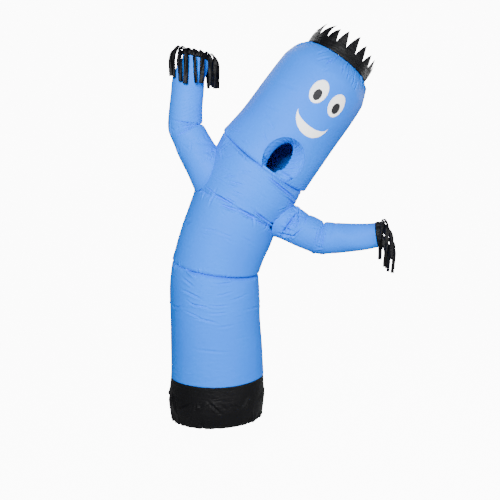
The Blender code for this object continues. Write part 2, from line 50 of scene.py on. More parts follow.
LENS = 41.4
FLOOR_Z = -1.46
FLOOR_GLOW = 11.0
SWEEP_TURNS_AT = 2.8
SWEEP_RADIUS = 1.2
SWEEP_HALF_WIDTH = 4.2

camera = bpy.data.objects.new("camera", bpy.data.cameras.new("camera"))
camera.data.lens = LENS
camera.data.sensor_width = 36.0
camera.location = CAMERA_AT
camera.rotation_euler = (math.radians(90 - CAMERA_DOWN), 0, 0)
bpy.context.collection.objects.link(camera)
bpy.context.scene.camera = camera

Light = namedtuple("Light", "name x y z size watts")
for light in (
    Light("key", -0.4, -2.8, 0.7, 0.7, 204),
    Light("fill", 2.4, -2.6, -0.3, 1.2, 66),
    Light("rim", 2.7, 1.3, 0.4, 1.2, 45),
    Light("back", -0.6, 2.6, 3.0, 2.4, 110),
):
    lamp = bpy.data.objects.new(light.name, bpy.data.lights.new(light.name, "AREA"))
    lamp.data.size = light.size
    lamp.data.energy = light.watts
    lamp.location = light[1:4]
    aim = np.array((0.0, 0.0, -0.3)) - np.array(light[1:4])
    lamp.rotation_euler = (math.acos(-aim[2] / np.linalg.norm(aim)), 0, math.atan2(-aim[0], aim[1]))
    bpy.context.collection.objects.link(lamp)

world = bpy.data.worlds.new("surroundings")
world.use_nodes = True
world.node_tree.nodes["Background"].inputs["Color"].default_value = (0.95, 0.97, 1.0, 1)
world.node_tree.nodes["Background"].inputs["Strength"].default_value = 0.08
bpy.context.scene.world = world

floor_paint = bpy.data.materials.new("floor_paint")
floor_paint.use_nodes = True
floor_shader = floor_paint.node_tree.nodes["Principled BSDF"]
floor_shader.inputs["Base Color"].default_value = (0.35, 0.35, 0.35, 1)
floor_shader.inputs["Roughness"].default_value = 0.9
floor_shader.inputs["Emission Color"].default_value = (1, 1, 1, 1)
seen = floor_paint.node_tree.nodes.new("ShaderNodeLightPath")
glow = floor_paint.node_tree.nodes.new("ShaderNodeMath")
glow.operation = "MULTIPLY"
glow.inputs[1].default_value = FLOOR_GLOW
floor_paint.node_tree.links.new(seen.outputs["Is Camera Ray"], glow.inputs[0])
floor_paint.node_tree.links.new(glow.outputs["Value"], floor_shader.inputs["Emission Strength"])
sweep = [(-6, FLOOR_Z), (SWEEP_TURNS_AT, FLOOR_Z)]
for a in np.linspace(0.1, math.pi / 2, 12):
    sweep.append((SWEEP_TURNS_AT + SWEEP_RADIUS * math.sin(a), FLOOR_Z + SWEEP_RADIUS * (1 - math.cos(a))))
sweep.append((SWEEP_TURNS_AT + SWEEP_RADIUS, 5.0))
floor_points = [(side * SWEEP_HALF_WIDTH, y, z) for y, z in sweep for side in (-1, 1)]
floor_faces = [(2 * k, 2 * k + 1, 2 * k + 3, 2 * k + 2) for k in range(len(sweep) - 1)]
floor_mesh = bpy.data.meshes.new("floor")
floor_mesh.from_pydata(floor_points, [], floor_faces)
floor_mesh.shade_smooth()
floor_mesh.materials.append(floor_paint)
floor = bpy.data.objects.new("floor", floor_mesh)
bpy.context.collection.objects.link(floor)


# Cloth materials: thin nylon with a plain weave that follows each panel's own metre grid, a soft
# crumple at two sizes, a little unevenness of dye, and a dull sheen. Patches are flatter felted cloth.
def nodes_of(tree, rows):
    """Adds a table of nodes to a tree: name, type, inputs that are numbers, and properties."""
    made = {}
    for name, kind, numbers, properties in rows:
        node = tree.nodes.new(kind)
        for key, value in properties.items():
            setattr(node, key, value)
        for key, value in numbers.items():
            node.inputs[key].default_value = value
        made[name] = node
    return made


def cloth_material(name, deep, light, roughness, specular, crumple, weave_pitch=0.0011):
    """A woven nylon: dye between deep and light, crumple as the depth of its small wrinkles in metres."""
    material = bpy.data.materials.new(name)
    material.use_nodes = True
    shader = material.node_tree.nodes["Principled BSDF"]
    shader.inputs["Specular IOR Level"].default_value = specular
    made = nodes_of(material.node_tree, (
        ("place", "ShaderNodeTexCoord", {}, {}),
        ("metres", "ShaderNodeUVMap", {}, {"uv_map": "metres"}),
        ("dye_noise", "ShaderNodeTexNoise", {"Scale": 3.0, "Detail": 3.0}, {}),
        ("dye", "ShaderNodeMix", {}, {"data_type": "RGBA"}),
        ("stretch", "ShaderNodeMapping", {"Rotation": (0, 0, 0.22), "Scale": (16.0, 80.0, 1.0)}, {}),
        ("patchy", "ShaderNodeMapRange", {"From Min": 0.42, "From Max": 0.62, "To Min": 0.25}, {}),
        ("long_wrinkles", "ShaderNodeTexNoise", {"Scale": 1.0, "Detail": 4.0, "Distortion": 0.6}, {}),
        ("small_wrinkles", "ShaderNodeTexNoise", {"Scale": 42.0, "Detail": 5.0, "Roughness": 0.62}, {}),
        ("warp", "ShaderNodeTexWave", {"Scale": 0.314 / weave_pitch}, {"bands_direction": "X"}),
        ("weft", "ShaderNodeTexWave", {"Scale": 0.314 / weave_pitch}, {"bands_direction": "Y"}),
        ("weave", "ShaderNodeMath", {}, {"operation": "MULTIPLY"}),
        ("gloss", "ShaderNodeMapRange", {"To Min": roughness - 0.06, "To Max": roughness + 0.08}, {}),
        ("long_bump", "ShaderNodeBump", {"Strength": 1.0, "Distance": crumple}, {}),
        ("small_bump", "ShaderNodeBump", {"Strength": 1.0, "Distance": crumple * 0.45}, {}),
        ("weave_bump", "ShaderNodeBump", {"Strength": 0.35, "Distance": 0.00012}, {}),
    ))
    made["dye"].inputs[6].default_value = (*deep, 1)
    made["dye"].inputs[7].default_value = (*light, 1)
    for source, output, target, place in (
        ("place", "Object", "dye_noise", "Vector"),
        ("dye_noise", "Fac", "dye", 0),
        ("dye_noise", "Fac", "patchy", "Value"),
        ("patchy", "Result", "long_bump", "Strength"),
        ("metres", "UV", "stretch", "Vector"),
        ("stretch", "Vector", "long_wrinkles", "Vector"),
        ("place", "Object", "small_wrinkles", "Vector"),
        ("metres", "UV", "warp", "Vector"),
        ("metres", "UV", "weft", "Vector"),
        ("warp", "Fac", "weave", 0),
        ("weft", "Fac", "weave", 1),
        ("small_wrinkles", "Fac", "gloss", "Value"),
        ("long_wrinkles", "Fac", "long_bump", "Height"),
        ("small_wrinkles", "Fac", "small_bump", "Height"),
        ("weave", "Value", "weave_bump", "Height"),
        ("long_bump", "Normal", "small_bump", "Normal"),
        ("small_bump", "Normal", "weave_bump", "Normal"),
    ):
        material.node_tree.links.new(made[source].outputs[output], made[target].inputs[place])
    material.node_tree.links.new(made["dye"].outputs[2], shader.inputs["Base Color"])
    material.node_tree.links.new(made["gloss"].outputs["Result"], shader.inputs["Roughness"])
    material.node_tree.links.new(made["weave_bump"].outputs["Normal"], shader.inputs["Normal"])
    return material


blue_nylon = cloth_material("blue_nylon", (0.0, 0.135, 0.76), (0.0, 0.190, 0.88), 0.5, 0.05, 0.0038)
black_nylon = cloth_material("black_nylon", (0.0012, 0.0012, 0.0016), (0.003, 0.003, 0.004), 0.5, 0.13, 0.0055)
white_felt = cloth_material("white_felt", (0.90, 0.90, 0.89), (0.96, 0.96, 0.95), 0.72, 0.3, 0.0004)
grey_felt = cloth_material("grey_felt", (0.010, 0.010, 0.012), (0.020, 0.020, 0.024), 0.6, 0.2, 0.0004)
blue_thread = cloth_material("blue_thread", (0.01, 0.12, 0.60), (0.02, 0.16, 0.70), 0.5, 0.3, 0.0001)
black_thread = cloth_material("black_thread", (0.02, 0.02, 0.022), (0.03, 0.03, 0.032), 0.45, 0.3, 0.0001)
white_thread = cloth_material("white_thread", (0.75, 0.75, 0.74), (0.85, 0.85, 0.84), 0.5, 0.3, 0.0001)

# The blown-up tube: its rings from hem to crown, with hard creases where it bends and, over them, the
# folds of slack nylon. SLACK deepens all the folds alike.
FRONT = np.array((0.0, -1.0, 0.0))
SEAM_GAP = 0.0003
SLACK = 1.35
Section = namedtuple("Section", "x z half_width half_depth lean nod")
Crease = namedtuple("Crease", "reach depth_right depth_left")
# A fold: the middle of its line, the line's direction and length, half its width, its depth and its bow
Fold = namedtuple("Fold", "u v turn length width depth bow")


def unit(vectors):
    return vectors / np.linalg.norm(vectors, axis=-1, keepdims=True)


def smooth_rows(knots, table, at):
    """A table's rows read at any distances along it, on a smooth curve through the rows."""
    at = np.asarray(at, float)
    last = len(knots) - 1
    i = np.clip(np.searchsorted(knots, at, side="right") - 1, 0, last - 1)
    low = np.maximum(np.arange(last + 1) - 1, 0)
    high = np.minimum(np.arange(last + 1) + 1, last)
    slopes = (table[high] - table[low]) / (knots[high] - knots[low])[:, None]
    span = (knots[i + 1] - knots[i])[..., None]
    s = (at - knots[i])[..., None] / span
    near = (2 * s**3 - 3 * s**2 + 1) * table[i] + span * (s**3 - 2 * s**2 + s) * slopes[i]
    far = (3 * s**2 - 2 * s**3) * table[i + 1] + span * (s**3 - s**2) * slopes[i + 1]
    return near + far


def pinch(distance, reach):
    """How far in cloth is drawn beside a crease, from 1 at the crease to 0 where its round lobe ends."""
    if reach == 0:
        return 0.0 * distance
    return 1 - np.sqrt(1 - np.clip(1 - np.maximum(distance, 0) / reach, 0, 1) ** 2)


def crease_depth(crease, angle):
    share = (1 + np.cos(np.radians(angle))) / 2
    return crease.depth_left + (crease.depth_right - crease.depth_left) * share


def folded(u, v, folds, around=0.0):
    """Height of a list of folds over a surface: each a trough between two low ridges, fading at its ends.

    SLACK deepens them all alike, as at the tables' depths they look fainter here than in the photograph.
    """
    height = np.zeros_like(u)
    for fold in folds:
        du, dv = u - fold.u, v - fold.v
        if around:
            du = (du + around / 2) % around - around / 2
        turn = math.radians(fold.turn)
        s = du * math.cos(turn) + dv * math.sin(turn)
        t = dv * math.cos(turn) - du * math.sin(turn) - fold.bow * (s * s / fold.length - fold.length / 12)
        near = (np.abs(s) < fold.length / 2) & (np.abs(t) < 3 * fold.width)
        w = t[near] / (0.6 * fold.width)
        taper = np.cos(np.pi * s[near] / fold.length) ** 2
        height[near] -= SLACK * fold.depth * taper * (1 - w**2) * np.exp(-(w**2) / 2)
    return height


def gathers(around, table):
    """Short folds that start in creases or seams. A row has its seed, how many folds, where along the cloth
    they lie, and pairs of lowest and highest angle, turn, length, half width and depth.
    """
    folds = []
    for seed, count, v, angles, turn, length, width, depth in table:
        draw = np.random.default_rng(seed)
        for _ in range(count):
            u = math.radians(draw.uniform(*angles)) / (2 * math.pi) * around
            size = draw.uniform() ** 2
            folds.append(Fold(
                u, v, draw.uniform(*turn), length[0] + (length[1] - length[0]) * size,
                draw.uniform(*width), (depth[0] + (depth[1] - depth[0]) * size) * draw.choice((1, 1, -0.7)),
                draw.uniform(-0.25, 0.25),
            ))
    return folds


class Tube:
    """A panel of the tube. Its own folds lie round it in metres, its front folds in X and Z as seen."""

    def __init__(self, sections, start, end, fold=None, own_folds=(), front_folds=(), swell=0.0, seed=0):
        self.table = np.array(sections, float)
        steps = np.diff(self.table[:, :2], axis=0)
        self.knots = np.concatenate(([0.0], np.cumsum(np.hypot(steps[:, 0], steps[:, 1]))))
        self.length = self.knots[-1]
        self.start, self.end, self.fold = start, end, fold
        self.around = 2 * math.pi * self.table[:, 2:4].mean()
        self.own_folds, self.front_folds = own_folds, front_folds
        draw = np.random.default_rng(seed)
        self.waves = [
            (draw.integers(1, 7), draw.uniform(4, 26), draw.uniform(0, 6.28), draw.uniform(0.3, 1.0) * swell)
            for _ in range(12)
        ]

    def rings(self, at):
        x, z, half_width, half_depth, lean, nod = np.moveaxis(smooth_rows(self.knots, self.table, at), -1, 0)
        lean, nod = np.radians(lean), np.radians(nod)
        zero = 0 * x
        along = np.stack((np.sin(lean), zero, np.cos(lean)), -1)
        across = np.stack((np.cos(lean), zero, -np.sin(lean)), -1)
        forward = np.cos(nod)[..., None] * FRONT - np.sin(nod)[..., None] * along
        return np.stack((x, zero, z), -1), across, forward, along, half_width, half_depth

    def inset(self, at, angle):
        depth = crease_depth(self.start, angle) * pinch(at - SEAM_GAP / 2, self.start.reach)
        depth = depth + crease_depth(self.end, angle) * pinch(self.length - SEAM_GAP / 2 - at, self.end.reach)
        if self.fold:
            where, crease = self.fold
            depth = depth + crease_depth(crease, angle) * pinch(np.abs(at - self.knots[where]), crease.reach)
        return depth

    def surface(self, at, angle, lift=0.0):
        """Points of the cloth's outer face at distances along the tube and angles round it, 90 at the front."""
        at, angle = np.broadcast_arrays(np.asarray(at, float), np.asarray(angle, float))
        centre, across, forward, _, half_width, half_depth = self.rings(at)
        turn = np.radians(angle)
        out = lift - self.inset(at, angle)
        cos, sin = np.cos(turn), np.sin(turn)
        base = centre + ((half_width + out) * cos)[..., None] * across
        base = base + ((half_depth + out) * sin)[..., None] * forward
        height = folded(turn / (2 * math.pi) * self.around, at, self.own_folds, self.around)
        height = height + folded(base[..., 0], base[..., 2], self.front_folds) * np.clip(4 * sin, 0, 1)
        for turns, pace, phase, size in self.waves:
            height = height + size * np.sin(turns * turn + pace * at + phase)
        outward = cos[..., None] * across + sin[..., None] * forward
        return base + height[..., None] * outward

    def beyond(self, points):
        """Roughly how far points lie outside the plain tube, in metres."""
        marks = np.linspace(-0.15, self.length + 0.15, 240)
        centre, across, forward, along, half_width, half_depth = self.rings(np.clip(marks, 0, self.length))
        centre = centre + (marks - np.clip(marks, 0, self.length))[:, None] * along
        flat = points.reshape(-1, 3)
        best = np.full(len(flat), np.inf)
        past = np.full(len(flat), np.inf)
        for k in range(len(marks)):
            off = flat - centre[k]
            gap = np.abs(off @ along[k])
            side, ahead = off @ across[k], off @ forward[k]
            radius = np.hypot(side, ahead) + 1e-9
            turn = np.arctan2(ahead, side)
            ring = 1 / np.hypot(np.cos(turn) / half_width[k], np.sin(turn) / half_depth[k])
            closer = gap < best
            best[closer] = gap[closer]
            past[closer] = (radius - ring)[closer]
        return past.reshape(points.shape[:-1])


def cloth(name, grid, finish, thickness, around, along, closed=True, keep=None, offset=-1.0):
    """A grid of points as a sheet with its thickness. around and along are its grid lines in metres."""
    rows, columns = grid.shape[:2]
    spans = columns if closed else columns - 1
    i, j = np.meshgrid(np.arange(rows - 1), np.arange(spans), indexing="ij")
    next_j = (j + 1) % columns
    here, above = i * columns, (i + 1) * columns
    faces = np.stack((here + j, above + j, above + next_j, here + next_j), -1)
    around = np.append(around, 2 * around[-1] - around[-2])
    u = np.stack((around[j], around[j], around[j + 1], around[j + 1]), -1)
    v = np.stack((along[i], along[i + 1], along[i + 1], along[i]), -1)
    faces, u, v = faces.reshape(-1, 4), u.reshape(-1), v.reshape(-1)
    if keep is not None:
        kept = keep.reshape(-1)
        faces, u, v = faces[kept], u.reshape(-1, 4)[kept].reshape(-1), v.reshape(-1, 4)[kept].reshape(-1)
    used, faces_used = np.unique(faces, return_inverse=True)
    mesh = bpy.data.meshes.new(name)
    mesh.from_pydata(grid.reshape(-1, 3)[used].tolist(), [], faces_used.reshape(-1, 4).tolist())
    layer = mesh.uv_layers.new(name="metres")
    layer.data.foreach_set("uv", np.stack((u, v), -1).ravel())
    mesh.materials.append(finish)
    mesh.shade_smooth()
    made = bpy.data.objects.new(name, mesh)
    bpy.context.collection.objects.link(made)
    if thickness:
        solidify = made.modifiers.new("thickness", "SOLIDIFY")
        solidify.thickness = thickness
        solidify.offset = offset
    return settled(made)


def settled(made):
    """Applies a piece's modifiers, so its mesh is its own."""
    graph = bpy.context.evaluated_depsgraph_get()
    mesh = bpy.data.meshes.new_from_object(made.evaluated_get(graph))
    made.modifiers.clear()
    made.data = mesh
    return made


def part_of(piece, slot, *nodes):
    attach(piece, "root")
    if nodes:
        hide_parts(*nodes)


# Sewing: runs of short stitches along a line on the cloth, each a small long bead of thread, and turned
# edges, each a round roll of cloth half sunk into the panel.
stitches = bpy.data.node_groups.new("stitches", "GeometryNodeTree")
stitches.interface.new_socket("Line", in_out="INPUT", socket_type="NodeSocketGeometry")
stitch_inputs = [
    stitches.interface.new_socket(name, in_out="INPUT", socket_type=kind)
    for name, kind in (
        ("Pitch", "NodeSocketFloat"), ("Size", "NodeSocketVector"), ("Thread", "NodeSocketMaterial"),
    )
]
stitches.interface.new_socket("Stitches", in_out="OUTPUT", socket_type="NodeSocketGeometry")
stitch_nodes = nodes_of(stitches, (
    ("given", "NodeGroupInput", {}, {}),
    ("curve", "GeometryNodeMeshToCurve", {}, {}),
    ("places", "GeometryNodeCurveToPoints", {}, {"mode": "LENGTH"}),
    ("aim", "FunctionNodeAlignRotationToVector", {}, {"axis": "Z"}),
    ("stitch", "GeometryNodeMeshUVSphere", {"Segments": 6, "Rings": 4, "Radius": 1.0}, {}),
    ("sewn", "GeometryNodeInstanceOnPoints", {}, {}),
    ("real", "GeometryNodeRealizeInstances", {}, {}),
    ("smooth", "GeometryNodeSetShadeSmooth", {}, {}),
    ("finish", "GeometryNodeSetMaterial", {}, {}),
    ("result", "NodeGroupOutput", {}, {}),
))
for source, output, target, place in (
    ("given", "Line", "curve", "Mesh"),
    ("curve", "Curve", "places", "Curve"),
    ("given", "Pitch", "places", "Length"),
    ("places", "Points", "sewn", "Points"),
    ("places", "Tangent", "aim", "Vector"),
    ("aim", "Rotation", "sewn", "Rotation"),
    ("stitch", "Mesh", "sewn", "Instance"),
    ("given", "Size", "sewn", "Scale"),
    ("sewn", "Instances", "real", "Geometry"),
    ("real", "Geometry", "smooth", "Geometry"),
    ("smooth", "Geometry", "finish", "Geometry"),
    ("given", "Thread", "finish", "Material"),
    ("finish", "Geometry", "result", "Stitches"),
):
    stitches.links.new(stitch_nodes[source].outputs[output], stitch_nodes[target].inputs[place])


def stitched(name, line, thread, slot, closed=True, pitch=0.0045):
    """A run of stitches along a line of points just above the cloth."""
    count = len(line)
    mesh = bpy.data.meshes.new(name)
    edges = [(k, (k + 1) % count) for k in range(count if closed else count - 1)]
    mesh.from_pydata(line.tolist(), edges, [])
    made = bpy.data.objects.new(name, mesh)
    bpy.context.collection.objects.link(made)
    modifier = made.modifiers.new("stitches", "NODES")
    modifier.node_group = stitches
    for socket, value in zip(stitch_inputs, (pitch, (0.0004, 0.0004, 0.0016), thread)):
        modifier[socket.identifier] = value
    settled(made)
    part_of(made, slot)


def rolled(name, line, outward, side, radius, finish, slot, closed=True):
    """A turned edge: a round roll of cloth half sunk into the cloth along a line."""
    bend = np.linspace(0, 2 * np.pi, 11)[:, None, None]
    grid = line + radius * (np.cos(bend) * side + np.sin(bend) * outward)
    marks = np.arange(len(line)) * np.linalg.norm(line[1] - line[0])
    made = cloth(name, grid, finish, 0, marks, bend[:, 0, 0] * radius, closed=closed)
    part_of(made, slot)


# The panels from hem to crown: rings along the tube's middle line, the hard creases at the waist, chest,
# chin and neck, and the folds. Gathers start in a crease or seam, the other folds are placed one by one.
CLOTH = 0.0012
GRID = 0.0046
NO_CREASE = Crease(0.0, 0.0, 0.0)
WAIST = Crease(0.020, 0.040, 0.010)
CHEST_FOLD = Crease(0.024, 0.020, 0.008)
CHIN = Crease(0.016, 0.024, 0.012)
NECK = Crease(0.020, 0.018, 0.008)
ROUND = 1.505

skirt_tube = Tube(
    (
        Section(-0.179, -1.168, 0.243, 0.222, -1.5, -2),
        Section(-0.180, -1.085, 0.255, 0.242, -1.9, -1),
        Section(-0.174, -0.940, 0.248, 0.244, -0.8, 0),
    ),
    NO_CREASE, NO_CREASE,
    own_folds=gathers(ROUND, (
        (11, 46, 0.0, (0, 360), (60, 120), (0.05, 0.22), (0.010, 0.022), (0.0016, 0.0080)),
        (12, 60, 0.12, (0, 360), (20, 160), (0.03, 0.14), (0.008, 0.020), (0.0010, 0.0048)),
    )),
    swell=0.0008, seed=1,
)
lower_tube = Tube(
    (
        Section(-0.174, -0.940, 0.248, 0.244, -0.8, 0),
        Section(-0.181, -0.708, 0.239, 0.240, 0, 0),
        Section(-0.185, -0.482, 0.235, 0.236, 3, 1),
        Section(-0.181, -0.365, 0.228, 0.230, 9.5, 6),
    ),
    NO_CREASE, WAIST,
    own_folds=gathers(ROUND, (
        (21, 70, 0.585, (0, 360), (55, 125), (0.03, 0.12), (0.004, 0.010), (0.0013, 0.0048)),
        (22, 60, 0.38, (130, 400), (-20, 20), (0.05, 0.17), (0.007, 0.014), (0.0010, 0.0032)),
    )),
    front_folds=(
        Fold(-0.296, -0.356, -38, 0.135, 0.0150, 0.0110, -0.10),
        Fold(-0.298, -0.361, -37, 0.090, 0.0090, 0.0074, 0.00),
        Fold(-0.223, -0.356, -26, 0.193, 0.0105, 0.0092, -0.12),
        Fold(-0.288, -0.479, -20, 0.155, 0.0090, 0.0064, -0.15),
        Fold(-0.251, -0.533, -9, 0.153, 0.0075, 0.0074, -0.15),
        Fold(-0.281, -0.578, -20, 0.130, 0.0067, 0.0055, -0.15),
        Fold(-0.215, -0.605, -11, 0.159, 0.0090, 0.0046, -0.15),
        Fold(-0.154, -0.531, 0, 0.132, 0.0067, 0.0046, 0.15),
        Fold(-0.154, -0.568, 2, 0.132, 0.0075, 0.0046, 0.15),
        Fold(-0.127, -0.474, 12, 0.120, 0.0075, 0.0037, 0.15),
        Fold(-0.126, -0.422, 4, 0.137, 0.0090, 0.0037, 0.20),
        Fold(-0.061, -0.498, 16, 0.127, 0.0075, 0.0033, 0.10),
        Fold(-0.192, -0.758, -4, 0.247, 0.0105, 0.0022, -0.05),
        Fold(-0.286, -0.523, -28, 0.094, 0.0060, 0.0055, 0.00),
        Fold(-0.306, -0.420, -32, 0.102, 0.0090, 0.0046, 0.00),
        Fold(-0.123, -0.635, 5, 0.108, 0.0090, 0.0028, 0.10),
    ),
    swell=0.0006, seed=2,
)
upper_tube = Tube(
    (
        Section(-0.181, -0.365, 0.228, 0.230, 9.5, 6),
        Section(-0.148, -0.262, 0.231, 0.232, 17, 3),
        Section(-0.112, -0.171, 0.233, 0.234, 23, 0),
        Section(-0.071, -0.067, 0.235, 0.236, 28.4, -2),
        Section(-0.002, 0.048, 0.249, 0.244, 32, 2),
        Section(0.070, 0.1843, 0.252, 0.246, 37.6, 10),
    ),
    WAIST, NECK, (3, CHEST_FOLD),
    own_folds=gathers(ROUND, (
        (31, 70, 0.0, (0, 360), (55, 125), (0.03, 0.11), (0.004, 0.010), (0.0013, 0.0048)),
        (32, 80, 0.318, (0, 360), (50, 130), (0.03, 0.12), (0.004, 0.010), (0.0010, 0.0048)),
        (33, 60, 0.60, (0, 360), (60, 120), (0.03, 0.10), (0.004, 0.009), (0.0010, 0.0040)),
        (34, 40, 0.17, (150, 380), (-30, 10), (0.05, 0.14), (0.006, 0.012), (0.0010, 0.0032)),
    )),
    front_folds=(
        Fold(-0.129, -0.013, -27, 0.160, 0.0120, 0.0110, -0.10),
        Fold(-0.103, -0.051, -21, 0.118, 0.0090, 0.0083, -0.05),
        Fold(-0.014, -0.080, -27, 0.161, 0.0105, 0.0110, 0.05),
        Fold(0.063, -0.104, -39, 0.161, 0.0105, 0.0129, 0.05),
        Fold(0.084, -0.135, -36, 0.114, 0.0075, 0.0110, 0.00),
        Fold(-0.014, -0.089, -22, 0.114, 0.0067, 0.0074, 0.00),
        Fold(-0.096, -0.015, -30, 0.077, 0.0060, 0.0074, 0.00),
        Fold(0.116, -0.137, -37, 0.072, 0.0060, 0.0092, 0.00),
        Fold(-0.098, 0.099, 0, 0.081, 0.0060, 0.0064, 0.00),
        Fold(-0.069, 0.066, -15, 0.113, 0.0067, 0.0064, -0.05),
        Fold(-0.091, 0.052, -12, 0.088, 0.0053, 0.0046, 0.00),
        Fold(-0.062, 0.018, -18, 0.091, 0.0060, 0.0046, 0.00),
        Fold(-0.021, 0.118, 0, 0.091, 0.0075, 0.0028, 0.00),
        Fold(-0.140, 0.210, -75, 0.053, 0.0060, 0.0092, 0.00),
        Fold(-0.126, 0.233, -13, 0.063, 0.0053, 0.0064, 0.00),
        Fold(-0.114, 0.238, -30, 0.066, 0.0053, 0.0046, 0.00),
        Fold(-0.193, -0.161, -7, 0.116, 0.0075, 0.0055, -0.05),
        Fold(-0.219, -0.183, -8, 0.073, 0.0060, 0.0046, 0.00),
        Fold(-0.121, -0.183, -19, 0.091, 0.0067, 0.0046, 0.00),
        Fold(-0.106, -0.207, -27, 0.065, 0.0060, 0.0033, 0.00),
        Fold(-0.010, -0.212, -32, 0.091, 0.0090, 0.0028, 0.00),
        Fold(0.150, -0.190, -3, 0.087, 0.0075, 0.0110, 0.30),
        Fold(-0.031, 0.220, -45, 0.208, 0.0120, 0.0149, 0.10),
        Fold(0.156, 0.038, -38, 0.250, 0.0120, 0.0138, 0.00),
        Fold(0.211, -0.027, -39, 0.099, 0.0075, 0.0092, 0.00),
        Fold(-0.119, 0.243, 32, 0.079, 0.0045, 0.0057, 0.00),
        Fold(-0.107, 0.194, 11, 0.102, 0.0045, 0.0046, 0.00),
        Fold(-0.124, 0.135, -14, 0.098, 0.0045, 0.0046, 0.00),
        Fold(-0.143, 0.078, -29, 0.109, 0.0045, 0.0057, 0.00),
        Fold(-0.187, 0.028, -37, 0.095, 0.0045, 0.0046, 0.00),
        Fold(-0.121, 0.266, 52, 0.054, 0.0045, 0.0069, 0.00),
        Fold(0.161, -0.060, 21, 0.067, 0.0045, 0.0069, 0.00),
        Fold(0.149, -0.101, 30, 0.077, 0.0045, 0.0069, 0.00),
    ),
    swell=0.0006, seed=3,
)
head_tube = Tube(
    (
        Section(0.073, 0.182, 0.261, 0.254, 37.6, 10),
        Section(0.110, 0.228, 0.258, 0.251, 37.5, 5),
        Section(0.203, 0.352, 0.247, 0.245, 36, 1),
        Section(0.367, 0.577, 0.239, 0.239, 34.5, 0),
        Section(0.392, 0.613, 0.226, 0.226, 35, 0),
        Section(0.412, 0.641, 0.206, 0.206, 35, 0),
        Section(0.430, 0.667, 0.176, 0.176, 35, 0),
    ),
    CHIN, NO_CREASE,
    own_folds=gathers(ROUND, (
        (41, 90, 0.0, (0, 360), (60, 120), (0.02, 0.10), (0.004, 0.009), (0.0008, 0.0040)),
        (42, 110, 0.600, (0, 360), (68, 112), (0.05, 0.17), (0.004, 0.008), (0.0030, 0.0100)),
    )),
    front_folds=(
        Fold(-0.066, 0.320, -11, 0.096, 0.0045, 0.0057, 0.00),
        Fold(-0.066, 0.343, 0, 0.066, 0.0045, 0.0046, 0.00),
        Fold(-0.019, 0.264, -39, 0.074, 0.0060, 0.0069, 0.00),
        Fold(-0.076, 0.327, -30, 0.065, 0.0075, 0.0055, 0.00),
        Fold(0.080, 0.380, -44, 0.066, 0.0075, 0.0028, 0.00),
        Fold(0.104, 0.334, -56, 0.068, 0.0075, 0.0033, 0.00),
        Fold(0.071, 0.280, -68, 0.076, 0.0075, 0.0040, 0.00),
        Fold(0.343, 0.649, 16, 0.082, 0.0075, 0.0046, 0.00),
        Fold(0.341, 0.683, 23, 0.070, 0.0075, 0.0046, 0.00),
        Fold(0.369, 0.633, 45, 0.065, 0.0053, 0.0083, 0.00),
        Fold(0.390, 0.644, 57, 0.059, 0.0045, 0.0092, 0.00),
        Fold(0.374, 0.637, 33, 0.033, 0.0045, 0.0074, 0.00),
        Fold(0.442, 0.605, 71, 0.068, 0.0060, 0.0074, 0.00),
        Fold(0.466, 0.578, 71, 0.068, 0.0060, 0.0074, 0.00),
        Fold(0.492, 0.551, 75, 0.066, 0.0053, 0.0101, 0.00),
        Fold(0.475, 0.583, 70, 0.039, 0.0045, 0.0083, 0.00),
        Fold(0.509, 0.532, 71, 0.068, 0.0053, 0.0092, 0.00),
        Fold(0.440, 0.614, 72, 0.029, 0.0045, 0.0064, 0.00),
        Fold(0.356, 0.592, 26, 0.041, 0.0090, 0.0028, 0.00),
        Fold(0.178, 0.528, -33, 0.135, 0.0150, 0.0022, 0.00),
        Fold(0.104, 0.426, -30, 0.110, 0.0120, 0.0022, 0.00),
    ),
    swell=0.0006, seed=4,
)


def rows_along(length, dense=()):
    """Row distances about one grid step apart, and closer beside the creases named in dense."""
    marks = np.arange(0, length, GRID / 4)
    wanted = np.full(len(marks), GRID)
    for where in dense:
        wanted[np.abs(marks - where) < 0.03] = GRID / 2.5
    walked = np.concatenate(([0.0], np.cumsum(GRID / 4 / wanted)))
    steps = int(walked[-1])
    found = np.interp(np.linspace(0, walked[-1], steps + 1), walked, np.append(marks, length))
    found[0], found[-1] = SEAM_GAP / 2, length - SEAM_GAP / 2
    return found


def carried_on(tube, grid, rows):
    """A panel's grid with its upper edge turned in and carried on a little inside the next panel."""
    centre, _, _, along = tube.rings(tube.length)[:4]
    inward = unit(centre - grid[-1])
    tucked = [grid[-1] + step * along + min(0.003, step) * inward for step in (0.003, 0.007, 0.011)]
    return np.concatenate((grid, tucked)), np.append(rows, rows[-1] + np.array((0.003, 0.007, 0.011)))


# The skirt and the lower body. Columns lie closer on the front half, and each panel's upper edge is
# tucked inside the next one, so that no light shows through the seam.
angles = np.append(np.linspace(0, 180, 200, endpoint=False), np.linspace(180, 360, 84, endpoint=False))
round_marks = angles / 360 * ROUND
skirt_rows = rows_along(skirt_tube.length)
skirt_grid, skirt_rows = carried_on(skirt_tube, skirt_tube.surface(skirt_rows[:, None], angles), skirt_rows)
skirt = cloth("skirt_cloth", skirt_grid, black_nylon, CLOTH, round_marks, skirt_rows)
part_of(skirt, "black_cloth", "skirt")
for name, at, radius in (("hem", 0.0015, 0.0024), ("skirt_top", skirt_tube.length - 0.0015, 0.0014)):
    line = skirt_tube.surface(at, angles, -0.3 * radius)
    centre, _, _, along = skirt_tube.rings(np.array(at))[:4]
    rolled(name + "_edge", line, unit(line - centre), along, radius, black_nylon, "black_cloth")
for at in (0.013, skirt_tube.length - 0.006):
    stitched(f"skirt_stitches_{at:.2f}", skirt_tube.surface(at, angles, 0.0003), black_thread, "black_cloth")

